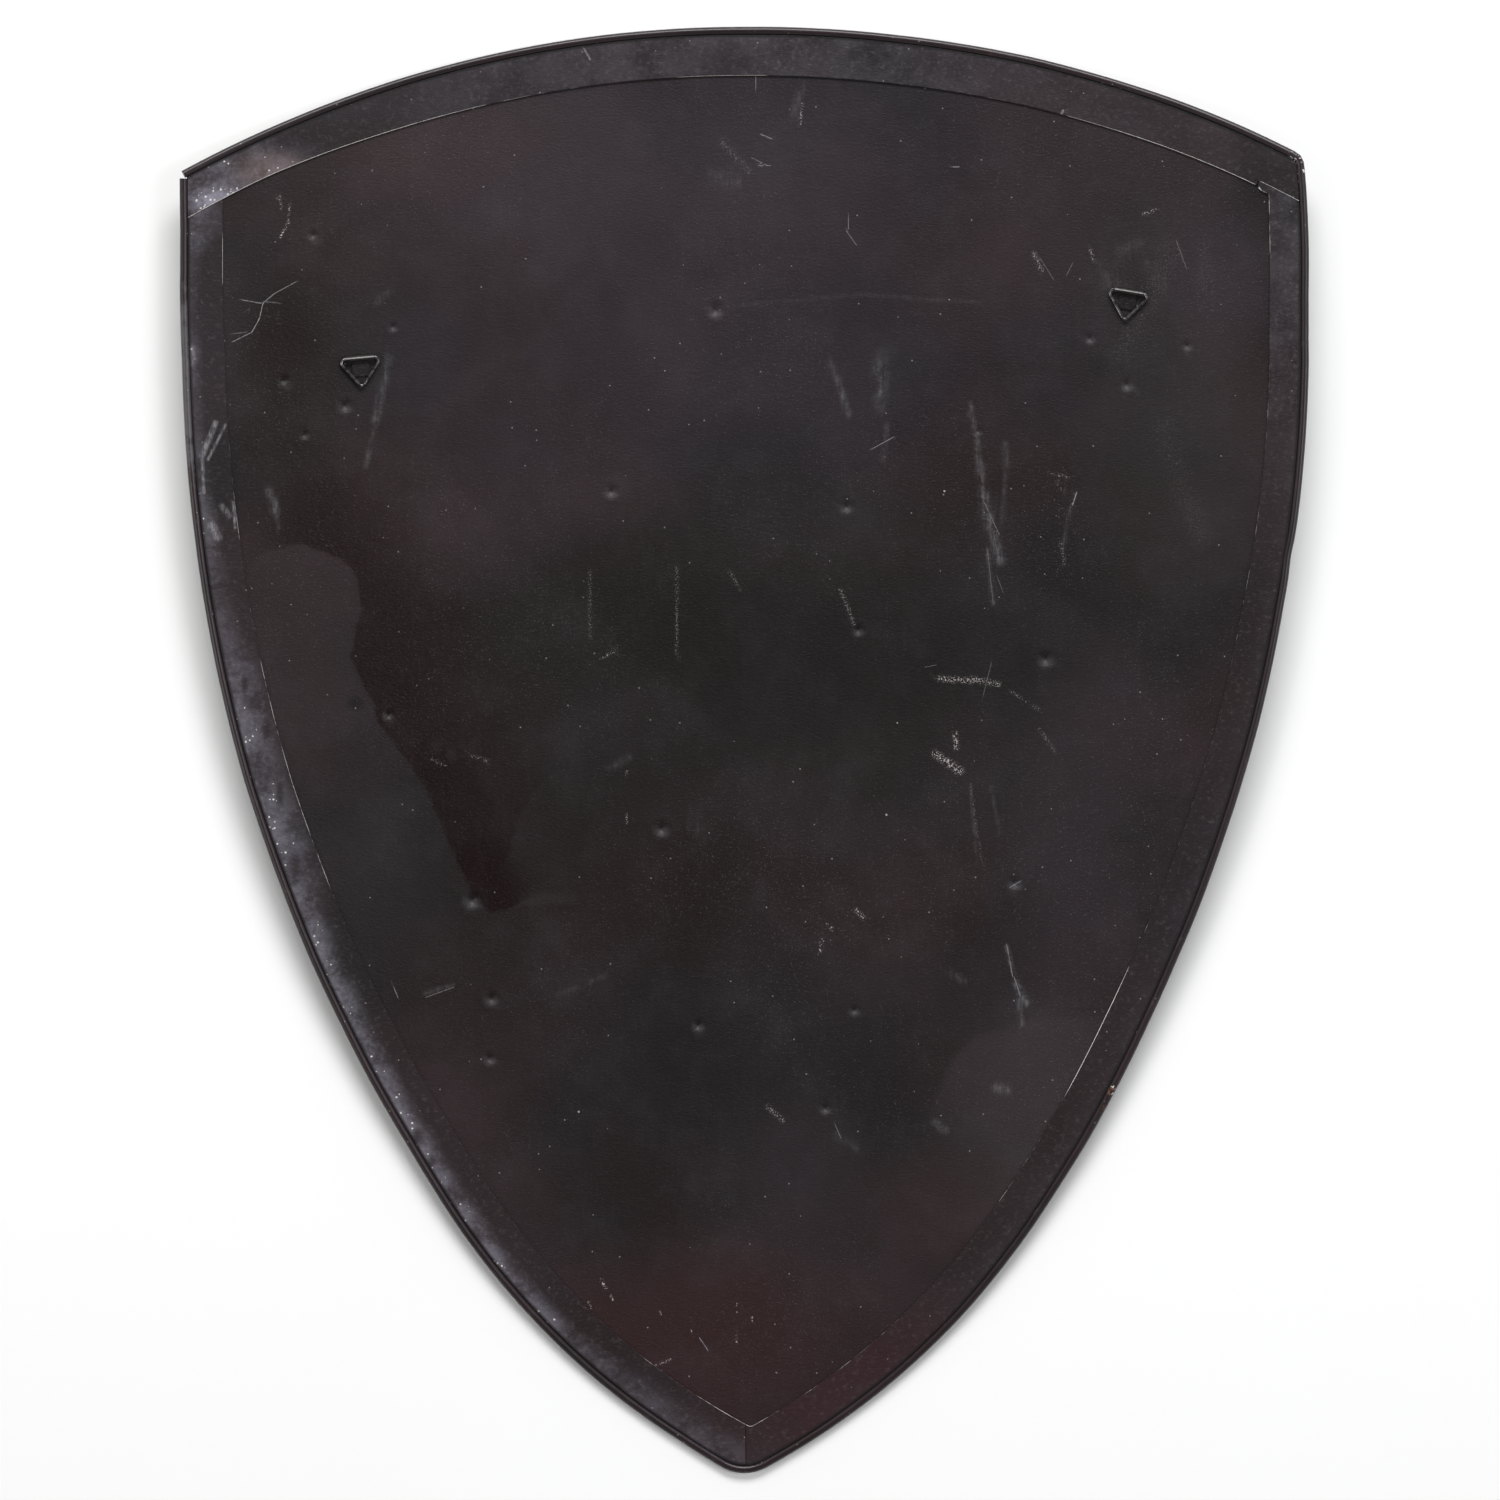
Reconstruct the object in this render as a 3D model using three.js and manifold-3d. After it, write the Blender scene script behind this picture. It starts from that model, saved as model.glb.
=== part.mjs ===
// A heater shield of bent sheet iron, lying on its front with the hollow back up.
// Millimetres. X runs across the shield, +Y to its crown, +Z up out of its back.
import * as THREE from "three";
import { mergeVertices } from "three/addons/utils/BufferGeometryUtils.js";
import Module from "manifold-3d";

const wasm = await Module();
wasm.setup();

// Outline, seen from the back and measured over the rim rod
const shieldWidth = 583.4;
const shieldHeight = 750;
const crownRadius = 613.3;
const crownShift = 5.6; // the crown's highest point stands this far right of the middle
const widestBelowCrown = 153.5;
const lowerSideRadius = 404.9;
const upperSideAngle = THREE.MathUtils.degToRad(32.4); // turn of the side before it bends faster
const tipRadius = 24;
const rightCornerRadius = 8;

// Sheet, bent about the Y axis on both sides of a flat middle band
const bendRadius = 1700;
const flatBand = 60;
const sheetThickness = 1.2;
const seatGap = 0.3; // between pieces that lie on each other

// Rim rod, bent once round the edge and open at the upper left corner
const rimDiameter = 4.2;
const rimProud = 0.6; // the rod's lowest line below the sheet's front face
const rimEndFlare = 2.4; // the side run's free end leans outwards by this
const rimEndFlareLength = 22;

// Border strips on the back
const stripThickness = 0.9;
const topStripLeft = 23.4; // widths measured in from the outline
const topStripMiddle = 25.4;
const topStripRight = 24.6;
const leftStripTop = 21.3;
const leftStripTip = 25.7;
const rightStripTop = 19.6;
const rightStripTip = 22.6;
const tipMitre = 0.8; // the mitre line stands this far right of the middle
const rightEndStep = 2.6; // the right strip's end reaches this far over the top strip's line
const rightEndTongue = 6; // and this far inwards past its own inner edge

// Hangers: a strap rolled round the bar of a three-cornered wire ring
const leftHanger = { side: -1, fromSide: 92.5, belowCrown: 172.3, turn: THREE.MathUtils.degToRad(5.4) };
const rightHanger = { side: 1, fromSide: 92.5, belowCrown: 137.9, turn: THREE.MathUtils.degToRad(-9.6) };
const ringWire = 1.5;
const ringHalfBase = 11.6; // to where the bar's and the leg's lines would cross
const ringDrop = 15.2; // from the bar to where the legs' lines would cross
const ringCorner = 1.95;
const ringApex = 1.5;
const ringEndGap = 0.4; // between the wire's two ends, inside the sleeve
const sleeveClearance = 0.3;
const sleeveWall = 0.55;
const sleeveEndClearance = 0.25; // from the sleeve's end to where the wire starts to turn
const tailWidth = 8.8;
const tailLength = 9.3;

// Facets
const bendSteps = 12;
const rodSides = 12;
const wireSides = 12;
const boreSides = 20;

// Heights above the rod's lowest line, along the bent sheet's normal
const sheetFront = rimProud;
const sheetBack = sheetFront + sheetThickness;
const stripBottom = sheetBack + seatGap;
const stripTop = stripBottom + stripThickness;
const sleeveBore = ringWire / 2 + sleeveClearance;
const sleeveRadius = sleeveBore + sleeveWall;

const crown = new THREE.Vector2(crownShift, shieldHeight / 2 - crownRadius);
const widestY = shieldHeight / 2 - widestBelowCrown;
const tipCentre = new THREE.Vector2(0, tipRadius - shieldHeight / 2);

// The upper side arc runs without a kink into the lower one, which runs into the tip's round.
const upperSideRadius = (() => {
  const narrowing = 1 - Math.cos(upperSideAngle);
  const falling = Math.sin(upperSideAngle);
  const across = shieldWidth / 2 - lowerSideRadius * Math.cos(upperSideAngle);
  const down = tipCentre.y - widestY - lowerSideRadius * falling;
  const a = narrowing ** 2 + falling ** 2;
  const b = down * falling - across * narrowing;
  const c = across ** 2 + down ** 2 - (lowerSideRadius - tipRadius) ** 2;
  return (-b - Math.sqrt(b ** 2 - a * c)) / a;
})();
const upperSide = new THREE.Vector2(shieldWidth / 2 - upperSideRadius, widestY);
const lowerSide = new THREE.Vector2(
  upperSide.x + (upperSideRadius - lowerSideRadius) * Math.cos(upperSideAngle),
  upperSide.y - (upperSideRadius - lowerSideRadius) * Math.sin(upperSideAngle),
);

function mirrored(point) {
  return new THREE.Vector2(-point.x, point.y);
}

// The upper crossing of two circles.
function crossing(centreA, radiusA, centreB, radiusB) {
  const apart = centreB.clone().sub(centreA);
  const distance = apart.length();
  const along = (radiusA ** 2 - radiusB ** 2 + distance ** 2) / (2 * distance);
  const aside = Math.sqrt(radiusA ** 2 - along ** 2);
  apart.normalize();
  const middle = centreA.clone().addScaledVector(apart, along);
  const normal = new THREE.Vector2(-apart.y, apart.x);
  if (normal.y < 0) normal.negate();
  return middle.addScaledVector(normal, aside);
}

function directionTo(from, to) {
  return Math.atan2(to.y - from.y, to.x - from.x);
}

function arc(centre, radius, start, end, steps) {
  const turn = THREE.MathUtils.euclideanModulo(end - start, 2 * Math.PI);
  const curve = new THREE.EllipseCurve(centre.x, centre.y, radius, radius, start, start + turn);
  return { curve, steps };
}

// The outline moved inwards, from the upper left corner down, round the tip, up and back over the crown.
function edgeArcs(inset) {
  const corner = Math.max(rightCornerRadius - inset, 0.5);
  const trimmed = inset + corner;
  const cornerCentre = crossing(crown, crownRadius - trimmed, upperSide, upperSideRadius - trimmed);
  const leftCorner = crossing(crown, crownRadius - inset, mirrored(upperSide), upperSideRadius - inset);
  const toTip = directionTo(lowerSide, tipCentre);
  const leftToTip = directionTo(mirrored(lowerSide), tipCentre);
  const toCorner = directionTo(upperSide, cornerCentre);
  const crownToCorner = directionTo(crown, cornerCentre);
  const upper = upperSideRadius - inset;
  const lower = lowerSideRadius - inset;
  const leftStart = directionTo(mirrored(upperSide), leftCorner);
  return [
    arc(mirrored(upperSide), upper, leftStart, Math.PI + upperSideAngle, 20),
    arc(mirrored(lowerSide), lower, Math.PI + upperSideAngle, leftToTip, 16),
    arc(tipCentre, tipRadius - inset, leftToTip, toTip, 8),
    arc(lowerSide, lower, toTip, -upperSideAngle, 16),
    arc(upperSide, upper, -upperSideAngle, toCorner, 20),
    arc(cornerCentre, corner, toCorner, crownToCorner, 6),
    arc(crown, crownRadius - inset, crownToCorner, directionTo(crown, leftCorner), 30),
  ];
}

function pointsOf(pieces) {
  return pieces.flatMap(({ curve, steps }, i) => curve.getPoints(steps).slice(i ? 1 : 0));
}

// Height of the bent surface that lies this far above the rod's lowest line.
function bentHeight(x, above) {
  const past = Math.max(Math.abs(x) - flatBand / 2, 0);
  return bendRadius - Math.sqrt((bendRadius - above) ** 2 - past ** 2);
}

// A line through space that follows flat curves, with as many steps as each one asks for.
class SteppedLine extends THREE.Curve {
  constructor(pieces, place) {
    super();
    this.pieces = pieces;
    this.place = place;
    this.steps = pieces.reduce((sum, piece) => sum + piece.steps, 0);
  }
  getUtoTmapping(u) {
    return u;
  }
  getPoint(t, target = new THREE.Vector3()) {
    let left = t * this.steps;
    let i = 0;
    while (i < this.pieces.length - 1 && left > this.pieces[i].steps) {
      left -= this.pieces[i].steps;
      i += 1;
    }
    const { curve, steps } = this.pieces[i];
    return target.copy(this.place(curve.getPoint(left / steps)));
  }
}

// A rod of this diameter across its flats.
function rodAlong(line, diameter, sides) {
  const section = new THREE.Shape();
  const toCorner = diameter / 2 / Math.cos(Math.PI / sides);
  for (let i = 0; i < sides; i += 1) {
    const angle = (2 * Math.PI * (i + 0.5)) / sides;
    const point = [toCorner * Math.cos(angle), toCorner * Math.sin(angle)];
    if (i) section.lineTo(...point);
    else section.moveTo(...point);
  }
  return new THREE.ExtrudeGeometry(section, { steps: line.steps, extrudePath: line });
}

function solidOf(geometry) {
  const plain = geometry.clone();
  plain.deleteAttribute("normal");
  plain.deleteAttribute("uv");
  const merged = mergeVertices(plain, 1e-4);
  const vertProperties = new Float32Array(merged.attributes.position.array);
  const triVerts = new Uint32Array(merged.index.array);
  return new wasm.Manifold(new wasm.Mesh({ numProp: 3, vertProperties, triVerts }));
}

function geometryOf(solid) {
  const mesh = solid.getMesh();
  const geometry = new THREE.BufferGeometry();
  geometry.setAttribute("position", new THREE.BufferAttribute(mesh.vertProperties, 3));
  geometry.setIndex(new THREE.BufferAttribute(mesh.triVerts, 1));
  const faceted = geometry.toNonIndexed();
  faceted.computeVertexNormals();
  return faceted;
}

// An upright block of this plan, tall enough to cut through the whole shield.
function cutter(points) {
  const depth = 4 * shieldWidth;
  const shape = new THREE.Shape(points);
  const block = new THREE.ExtrudeGeometry(shape, { depth, bevelEnabled: false });
  return solidOf(block.translate(0, 0, -depth / 2));
}

// A bent layer between two heights, longer and wider than the shield.
function bentLayer(bottom, top) {
  const reach = shieldWidth / 2 + rimDiameter;
  const stations = [];
  for (let i = 0; i <= bendSteps; i += 1) {
    stations.push(flatBand / 2 + ((reach - flatBand / 2) * i) / bendSteps);
  }
  const across = [...stations.map((x) => -x).reverse(), ...stations];
  const under = across.map((x) => new THREE.Vector2(x, bentHeight(x, bottom)));
  const over = across.map((x) => new THREE.Vector2(x, bentHeight(x, top))).reverse();
  const depth = shieldHeight * 1.2;
  const layer = new THREE.ExtrudeGeometry(new THREE.Shape([...under, ...over]), {
    depth,
    bevelEnabled: false,
  });
  return solidOf(layer.rotateX(Math.PI / 2).translate(0, depth / 2, 0));
}

function ironMaterial(color, roughness, metalness) {
  return new THREE.MeshStandardMaterial({ color, roughness, metalness });
}

// Sheet
const sheetEdge = cutter(pointsOf(edgeArcs(rimDiameter + seatGap)));

function sheet() {
  const mesh = new THREE.Mesh(
    geometryOf(bentLayer(sheetFront, sheetBack).intersect(sheetEdge)),
    ironMaterial(0x35302f, 0.55, 0.35),
  );
  mesh.name = "shield_plate";
  return mesh;
}

// Rim rod
function rim() {
  const arcs = edgeArcs(rimDiameter / 2);
  const first = arcs[0].curve;
  const last = arcs[arcs.length - 1].curve;
  const cornerTop = first.getPoint(0).y;
  first.aStartAngle += (rimDiameter + seatGap) / upperSideRadius;
  const line = new SteppedLine(arcs, (point) => {
    const below = cornerTop - point.y;
    const onSide = point.x < last.getPoint(1).x + rimDiameter && below > rimDiameter / 4;
    const flare = onSide ? rimEndFlare * Math.max(1 - below / rimEndFlareLength, 0) : 0;
    return new THREE.Vector3(point.x - flare, point.y, bentHeight(point.x, rimDiameter / 2));
  });
  const mesh = new THREE.Mesh(rodAlong(line, rimDiameter, rodSides), ironMaterial(0x3d3a3c, 0.5, 0.4));
  mesh.name = "rim_rod";
  return mesh;
}

// Border strips
function onCrown(x, inset) {
  const radius = crownRadius - inset;
  return new THREE.Vector2(x, crown.y + Math.sqrt(radius ** 2 - (x - crown.x) ** 2));
}

// The lower edge of the top strip, from past one side of the shield to past the other.
function topStripEdge(drop) {
  const half = shieldWidth / 2;
  const points = [];
  for (let i = -20; i <= 20; i += 1) {
    const share = i / 20;
    const side = share < 0 ? topStripLeft : topStripRight;
    const width = topStripMiddle + (side - topStripMiddle) * share ** 2;
    points.push(onCrown(share * (half + rimDiameter), width + drop));
  }
  return points;
}

// The top strip's edge with the step where the right strip's end lies in it.
function topStripLine(drop) {
  const plain = topStripEdge(drop);
  const stepX = shieldWidth / 2 - rightStripTop - rightEndTongue;
  const before = plain.filter((point) => point.x < stepX);
  const after = topStripEdge(drop - rightEndStep).filter((point) => point.x > stepX + drop);
  const atStep = (edge, x) => {
    const i = edge.findIndex((point) => point.x >= x);
    const share = (x - edge[i - 1].x) / (edge[i].x - edge[i - 1].x);
    return edge[i - 1].clone().lerp(edge[i], share);
  };
  const low = atStep(plain, stepX - drop);
  const high = atStep(topStripEdge(drop - rightEndStep), stepX - drop);
  return [...before.filter((point) => point.x < low.x - 1), low, high, ...after];
}

// A side strip's inner edge, from the top down to the tip.
function sideStripEdge(side, widthTop, widthTip) {
  const arcs = [
    arc(upperSide, upperSideRadius, -upperSideAngle, directionTo(upperSide, onCrown(-upperSide.x / 2, 0)), 20),
    arc(lowerSide, lowerSideRadius, directionTo(lowerSide, tipCentre), -upperSideAngle, 16),
  ];
  const points = [];
  for (const [i, { curve, steps }] of arcs.entries()) {
    for (let k = 0; k <= steps; k += 1) {
      if (i && !k) continue;
      const angle = curve.aEndAngle + ((curve.aStartAngle - curve.aEndAngle) * k) / steps;
      const outer = new THREE.Vector2(
        curve.aX + curve.xRadius * Math.cos(angle),
        curve.aY + curve.xRadius * Math.sin(angle),
      );
      const share = THREE.MathUtils.clamp((shieldHeight / 2 - outer.y) / shieldHeight, 0, 1);
      const width = THREE.MathUtils.lerp(widthTop, widthTip, share);
      outer.x -= width * Math.cos(angle);
      outer.y -= width * Math.sin(angle);
      outer.x *= side;
      points.push(outer);
    }
  }
  return points;
}

function strips() {
  const layer = bentLayer(stripBottom, stripTop).intersect(sheetEdge);
  const high = shieldHeight;
  const wide = shieldWidth;
  const above = (drop) => cutter([...topStripLine(drop), new THREE.Vector2(wide, high), new THREE.Vector2(-wide, high)]);
  const below = layer.subtract(above(seatGap));
  const leftWindow = sideStripEdge(-1, leftStripTop, leftStripTip);
  const rightWindow = sideStripEdge(1, rightStripTop, rightStripTip);
  const far = 3 * wide;
  const insideOf = (edge, x) => [
    new THREE.Vector2(edge[0].x, high),
    ...edge,
    new THREE.Vector2(x, edge[edge.length - 1].y),
    new THREE.Vector2(x, high),
  ];
  const insideLeft = cutter(insideOf(leftWindow, far));
  const insideRight = cutter(insideOf(rightWindow, -far).reverse());
  const tongue = cutter(tonguePlan());
  const window = insideLeft.intersect(insideRight).subtract(tongue);
  const frame = below.subtract(window);
  const [right, left] = frame.splitByPlane([1, 0, 0], tipMitre);
  const cut = (solid, sign) => solid.trimByPlane([sign, 0, 0], sign * tipMitre + seatGap / 2);
  const made = [
    ["border_top", layer.intersect(above(0))],
    ["border_left", cut(left, -1)],
    ["border_right", cut(right, 1)],
  ];
  return made.map(([name, solid]) => {
    const mesh = new THREE.Mesh(geometryOf(solid), ironMaterial(0x38343a, 0.5, 0.35));
    mesh.name = name;
    return mesh;
  });
}

// The rounded heel by which the right strip's end reaches inwards under the top strip's line.
function tonguePlan() {
  const inner = shieldWidth / 2 - rightStripTop;
  const start = onCrown(inner - rightEndTongue, topStripMiddle - rightEndStep);
  const bottom = onCrown(inner, topStripMiddle + rightEndTongue * 1.6);
  const heel = new THREE.Vector2(start.x, start.y - rightEndStep * 1.4);
  const round = new THREE.QuadraticBezierCurve(heel, new THREE.Vector2(inner - 1.5, heel.y - 2.2), bottom);
  return [start, ...round.getPoints(6), new THREE.Vector2(inner + 4, bottom.y), new THREE.Vector2(inner + 4, start.y)];
}

// Hangers
function sleeveAndTail() {
  const straightHalf = ringHalfBase - ringCorner / Math.tan(Math.atan2(ringDrop, ringHalfBase) / 2);
  const length = 2 * (straightHalf - sleeveEndClearance);
  const roll = new THREE.Shape();
  roll.absarc(0, sleeveRadius, sleeveRadius, 0, 2 * Math.PI);
  roll.holes.push(new THREE.Path().absarc(0, sleeveRadius, sleeveBore, 0, 2 * Math.PI, true));
  const sleeve = new THREE.ExtrudeGeometry(roll, {
    depth: length,
    bevelEnabled: false,
    curveSegments: boreSides,
  });
  sleeve.translate(0, 0, -length / 2).rotateY(Math.PI / 2).rotateX(Math.PI / 2);
  const tail = new THREE.BoxGeometry(tailWidth, tailLength, sleeveWall);
  tail.translate(0, -tailLength / 2, sleeveWall / 2);
  return geometryOf(solidOf(sleeve).add(solidOf(tail)));
}

function ringLine() {
  const baseAngle = Math.atan2(ringDrop, ringHalfBase);
  const corner = new THREE.Vector2(ringHalfBase - ringCorner / Math.tan(baseAngle / 2), -ringCorner);
  const apex = new THREE.Vector2(0, ringApex / Math.cos(baseAngle) - ringDrop);
  const legAngle = Math.PI / 2 - baseAngle;
  const onLeg = (centre, radius, side) =>
    new THREE.Vector2(
      centre.x + side * radius * Math.cos(legAngle),
      centre.y - radius * Math.sin(legAngle),
    );
  const turn = (centre, radius, from, to, steps) => ({
    curve: new THREE.EllipseCurve(centre.x, centre.y, radius, radius, from, to, true),
    steps,
  });
  const straight = (from, to) => ({ curve: new THREE.LineCurve(from, to), steps: 1 });
  const half = ringEndGap / 2;
  return new SteppedLine(
    [
      straight(new THREE.Vector2(half, 0), new THREE.Vector2(corner.x, 0)),
      turn(corner, ringCorner, Math.PI / 2, -legAngle, 6),
      straight(onLeg(corner, ringCorner, 1), onLeg(apex, ringApex, 1)),
      turn(apex, ringApex, -legAngle, legAngle - Math.PI, 5),
      straight(onLeg(apex, ringApex, -1), onLeg(mirrored(corner), ringCorner, -1)),
      turn(mirrored(corner), ringCorner, legAngle - Math.PI, -1.5 * Math.PI, 6),
      straight(new THREE.Vector2(-corner.x, 0), new THREE.Vector2(-half, 0)),
    ],
    (point) => new THREE.Vector3(point.x, point.y, 0),
  );
}

function hanger(place, word) {
  const group = new THREE.Group();
  const seat = sheetBack + seatGap;
  const x = place.side * (shieldWidth / 2 - place.fromSide);
  const past = Math.max(Math.abs(x) - flatBand / 2, 0);
  const slope = Math.asin(past / (bendRadius - seat));
  group.position.set(x, shieldHeight / 2 - place.belowCrown, bentHeight(x, seat));
  group.rotateY(-place.side * slope);
  group.rotateZ(place.turn);
  const strap = new THREE.Mesh(sleeveAndTail(), ironMaterial(0x454446, 0.45, 0.5));
  strap.name = `hanger_strap_${word}`;
  const ring = new THREE.Mesh(rodAlong(ringLine(), ringWire, wireSides), ironMaterial(0x8c8a88, 0.35, 0.85));
  ring.name = `hanger_ring_${word}`;
  ring.position.z = sleeveRadius;
  group.add(strap, ring);
  return group;
}

const shield = new THREE.Group();
shield.add(sheet(), rim(), ...strips(), hanger(leftHanger, "left"), hanger(rightHanger, "right"));

export default shield;
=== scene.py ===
import math

import bmesh
import bpy
import numpy as np
from mathutils import Matrix, Vector


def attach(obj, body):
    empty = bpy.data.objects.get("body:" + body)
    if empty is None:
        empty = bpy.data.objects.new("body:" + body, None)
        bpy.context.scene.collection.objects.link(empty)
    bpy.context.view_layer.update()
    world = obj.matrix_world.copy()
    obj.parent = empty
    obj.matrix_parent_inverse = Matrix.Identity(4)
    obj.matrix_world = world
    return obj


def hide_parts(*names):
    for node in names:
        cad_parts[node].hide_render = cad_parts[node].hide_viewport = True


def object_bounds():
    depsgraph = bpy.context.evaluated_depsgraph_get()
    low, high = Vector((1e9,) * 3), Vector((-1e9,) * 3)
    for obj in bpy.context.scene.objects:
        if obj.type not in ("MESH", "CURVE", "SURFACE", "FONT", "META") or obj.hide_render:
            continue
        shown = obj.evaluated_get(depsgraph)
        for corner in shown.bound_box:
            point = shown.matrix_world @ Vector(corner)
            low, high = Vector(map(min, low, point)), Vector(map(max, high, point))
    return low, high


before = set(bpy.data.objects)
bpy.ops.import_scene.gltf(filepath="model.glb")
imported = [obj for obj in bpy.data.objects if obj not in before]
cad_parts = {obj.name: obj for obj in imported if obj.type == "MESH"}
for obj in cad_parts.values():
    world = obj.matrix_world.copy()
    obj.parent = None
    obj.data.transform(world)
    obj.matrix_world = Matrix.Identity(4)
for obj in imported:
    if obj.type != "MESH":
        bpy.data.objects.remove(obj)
cadBox = [list(corner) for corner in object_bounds()]
mm = 0.001
print("frame loaded, CAD box", cadBox)

photo = {
    "aimX": 2.97 * mm,        # the picture's middle stands this far right of the shield's
    "distance": 5.2,          # straight above the hollow back
    "widthSeen": 777.9 * mm,  # across the picture, at the shield's lowest line
}


def placeCamera():
    camera = bpy.data.objects.new("photoCamera", bpy.data.cameras.new("photoCamera"))
    bpy.context.scene.collection.objects.link(camera)
    camera.location = (photo["aimX"], 0, photo["distance"])
    camera.data.lens = camera.data.sensor_width * photo["distance"] / photo["widthSeen"]
    camera.data.clip_end = 100
    bpy.context.scene.camera = camera


placeCamera()
print("camera placed")


class NodePad:  # a node tree with short ways to add and wire its nodes
    def __init__(self, tree):
        self.tree = tree
        self.count = 0

    def node(self, kind, **settings):
        made = self.tree.nodes.new(kind)
        made.location = ((self.count // 8) * 190, -(self.count % 8) * 170)
        self.count += 1
        for name, value in settings.items():
            setattr(made, name, value)
        return made

    def feed(self, socket, value):
        if isinstance(value, bpy.types.NodeSocket):
            self.tree.links.new(value, socket)
        elif value is not None:
            socket.default_value = value

    def math(self, operation, a, b=None, c=None, clamp=False):
        made = self.node("ShaderNodeMath", operation=operation, use_clamp=clamp)
        for socket, value in zip(made.inputs, (a, b, c)):
            self.feed(socket, value)
        return made.outputs[0]

    def times(self, a, b, clamp=False):
        return self.math("MULTIPLY", a, b, clamp=clamp)

    def timesPlus(self, a, b, c):
        return self.math("MULTIPLY_ADD", a, b, c)

    def centred(self, value):
        return self.math("SUBTRACT", value, 0.5)

    def vector(self, operation, a, b=None, scale=None):
        made = self.node("ShaderNodeVectorMath", operation=operation)
        self.feed(made.inputs[0], a)
        self.feed(made.inputs[1], b)
        self.feed(made.inputs[3], scale)
        single = operation in ("DISTANCE", "LENGTH", "DOT_PRODUCT")
        return made.outputs["Value" if single else "Vector"]

    def ease(self, value, low, high, toLow=0.0, toHigh=1.0):
        made = self.node("ShaderNodeMapRange", interpolation_type="SMOOTHSTEP")
        given = {"Value": value, "From Min": low, "From Max": high, "To Min": toLow, "To Max": toHigh}
        for name, what in given.items():
            self.feed(made.inputs[name], what)
        return made.outputs["Result"]

    def noise(self, vector, scale, detail=3.0, roughness=0.55, distortion=0.0):
        made = self.node("ShaderNodeTexNoise")
        given = {"Vector": vector, "Scale": scale, "Detail": detail, "Roughness": roughness,
                 "Distortion": distortion}
        for name, what in given.items():
            self.feed(made.inputs[name], what)
        return made.outputs["Fac"]

    def mix(self, share, a, b):
        made = self.node("ShaderNodeMix", data_type="RGBA")
        self.feed(made.inputs[0], share)
        self.feed(made.inputs[6], a)
        self.feed(made.inputs[7], b)
        return made.outputs[2]

    def group(self, tree, given, output=None):
        made = self.node("ShaderNodeGroup", node_tree=tree)
        for name, what in given.items():
            self.feed(made.inputs[name], what)
        return made.outputs[output] if output else made.outputs[0]


socketKinds = {"value": "NodeSocketFloat", "vector": "NodeSocketVector", "colour": "NodeSocketColor"}


def newShaderGroup(name, inputs, outputs):
    tree = bpy.data.node_groups.new(name, "ShaderNodeTree")
    for label, (kind, start) in inputs.items():
        socket = tree.interface.new_socket(label, in_out="INPUT", socket_type=socketKinds[kind])
        socket.default_value = start
    for label, kind in outputs.items():
        tree.interface.new_socket(label, in_out="OUTPUT", socket_type=socketKinds[kind])
    pad = NodePad(tree)
    return pad, pad.node("NodeGroupInput").outputs, pad.node("NodeGroupOutput").inputs


def makeDentMark():  # a pit pressed in by something blunt
    pad, given, out = newShaderGroup(
        "dentMark",
        {"Vector": ("vector", (0, 0, 0)), "Centre": ("vector", (0, 0, 0)),
         "Radius": ("value", 0.005), "Depth": ("value", 1.0)},
        {"Height": "value"},
    )
    flat = pad.vector("MULTIPLY", given["Vector"], (1, 1, 0))
    away = pad.vector("DISTANCE", flat, given["Centre"])
    pit = pad.ease(away, 0.0, given["Radius"], 1.0, 0.0)
    pad.feed(out["Height"], pad.times(pit, pad.times(given["Depth"], -1.0)))
    return pad.tree


def makeRubStroke():  # how near a rubbed stroke is, 1 on its line
    pad, given, out = newShaderGroup(
        "rubStroke",
        {"Vector": ("vector", (0, 0, 0)), "From": ("vector", (0, 0, 0)), "Run": ("vector", (0, 0.01, 0)),
         "Half Width": ("value", 0.003), "Strength": ("value", 1.0)},
        {"Field": "value"},
    )
    flat = pad.vector("MULTIPLY", given["Vector"], (1, 1, 0))
    ahead = pad.vector("SUBTRACT", flat, given["From"])
    along = pad.vector("DOT_PRODUCT", ahead, given["Run"])
    length = pad.vector("DOT_PRODUCT", given["Run"], given["Run"])
    share = pad.math("DIVIDE", along, length, clamp=True)
    nearest = pad.vector("SCALE", given["Run"], scale=share)
    away = pad.vector("DISTANCE", ahead, nearest)
    near = pad.ease(away, 0.0, given["Half Width"], 1.0, 0.0)
    pad.feed(out["Field"], pad.times(near, given["Strength"]))
    return pad.tree


def makeSoftPatch():  # a cloudy oval
    pad, given, out = newShaderGroup(
        "softPatch",
        {"Vector": ("vector", (0, 0, 0)), "Centre": ("vector", (0, 0, 0)),
         "Half Size": ("vector", (0.05, 0.05, 1)), "Ragged": ("value", 0.5), "Strength": ("value", 0.5)},
        {"Mask": "value"},
    )
    flat = pad.vector("MULTIPLY", pad.vector("SUBTRACT", given["Vector"], given["Centre"]), (1, 1, 0))
    reach = pad.vector("LENGTH", pad.vector("DIVIDE", flat, given["Half Size"]))
    wander = pad.centred(pad.noise(given["Vector"], 14.0, 4.0, 0.55))
    away = pad.timesPlus(wander, pad.times(given["Ragged"], 2.0), reach)
    pad.feed(out["Mask"], pad.times(pad.ease(away, 0.25, 1.35, 1.0, 0.0), given["Strength"]))
    return pad.tree


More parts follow.
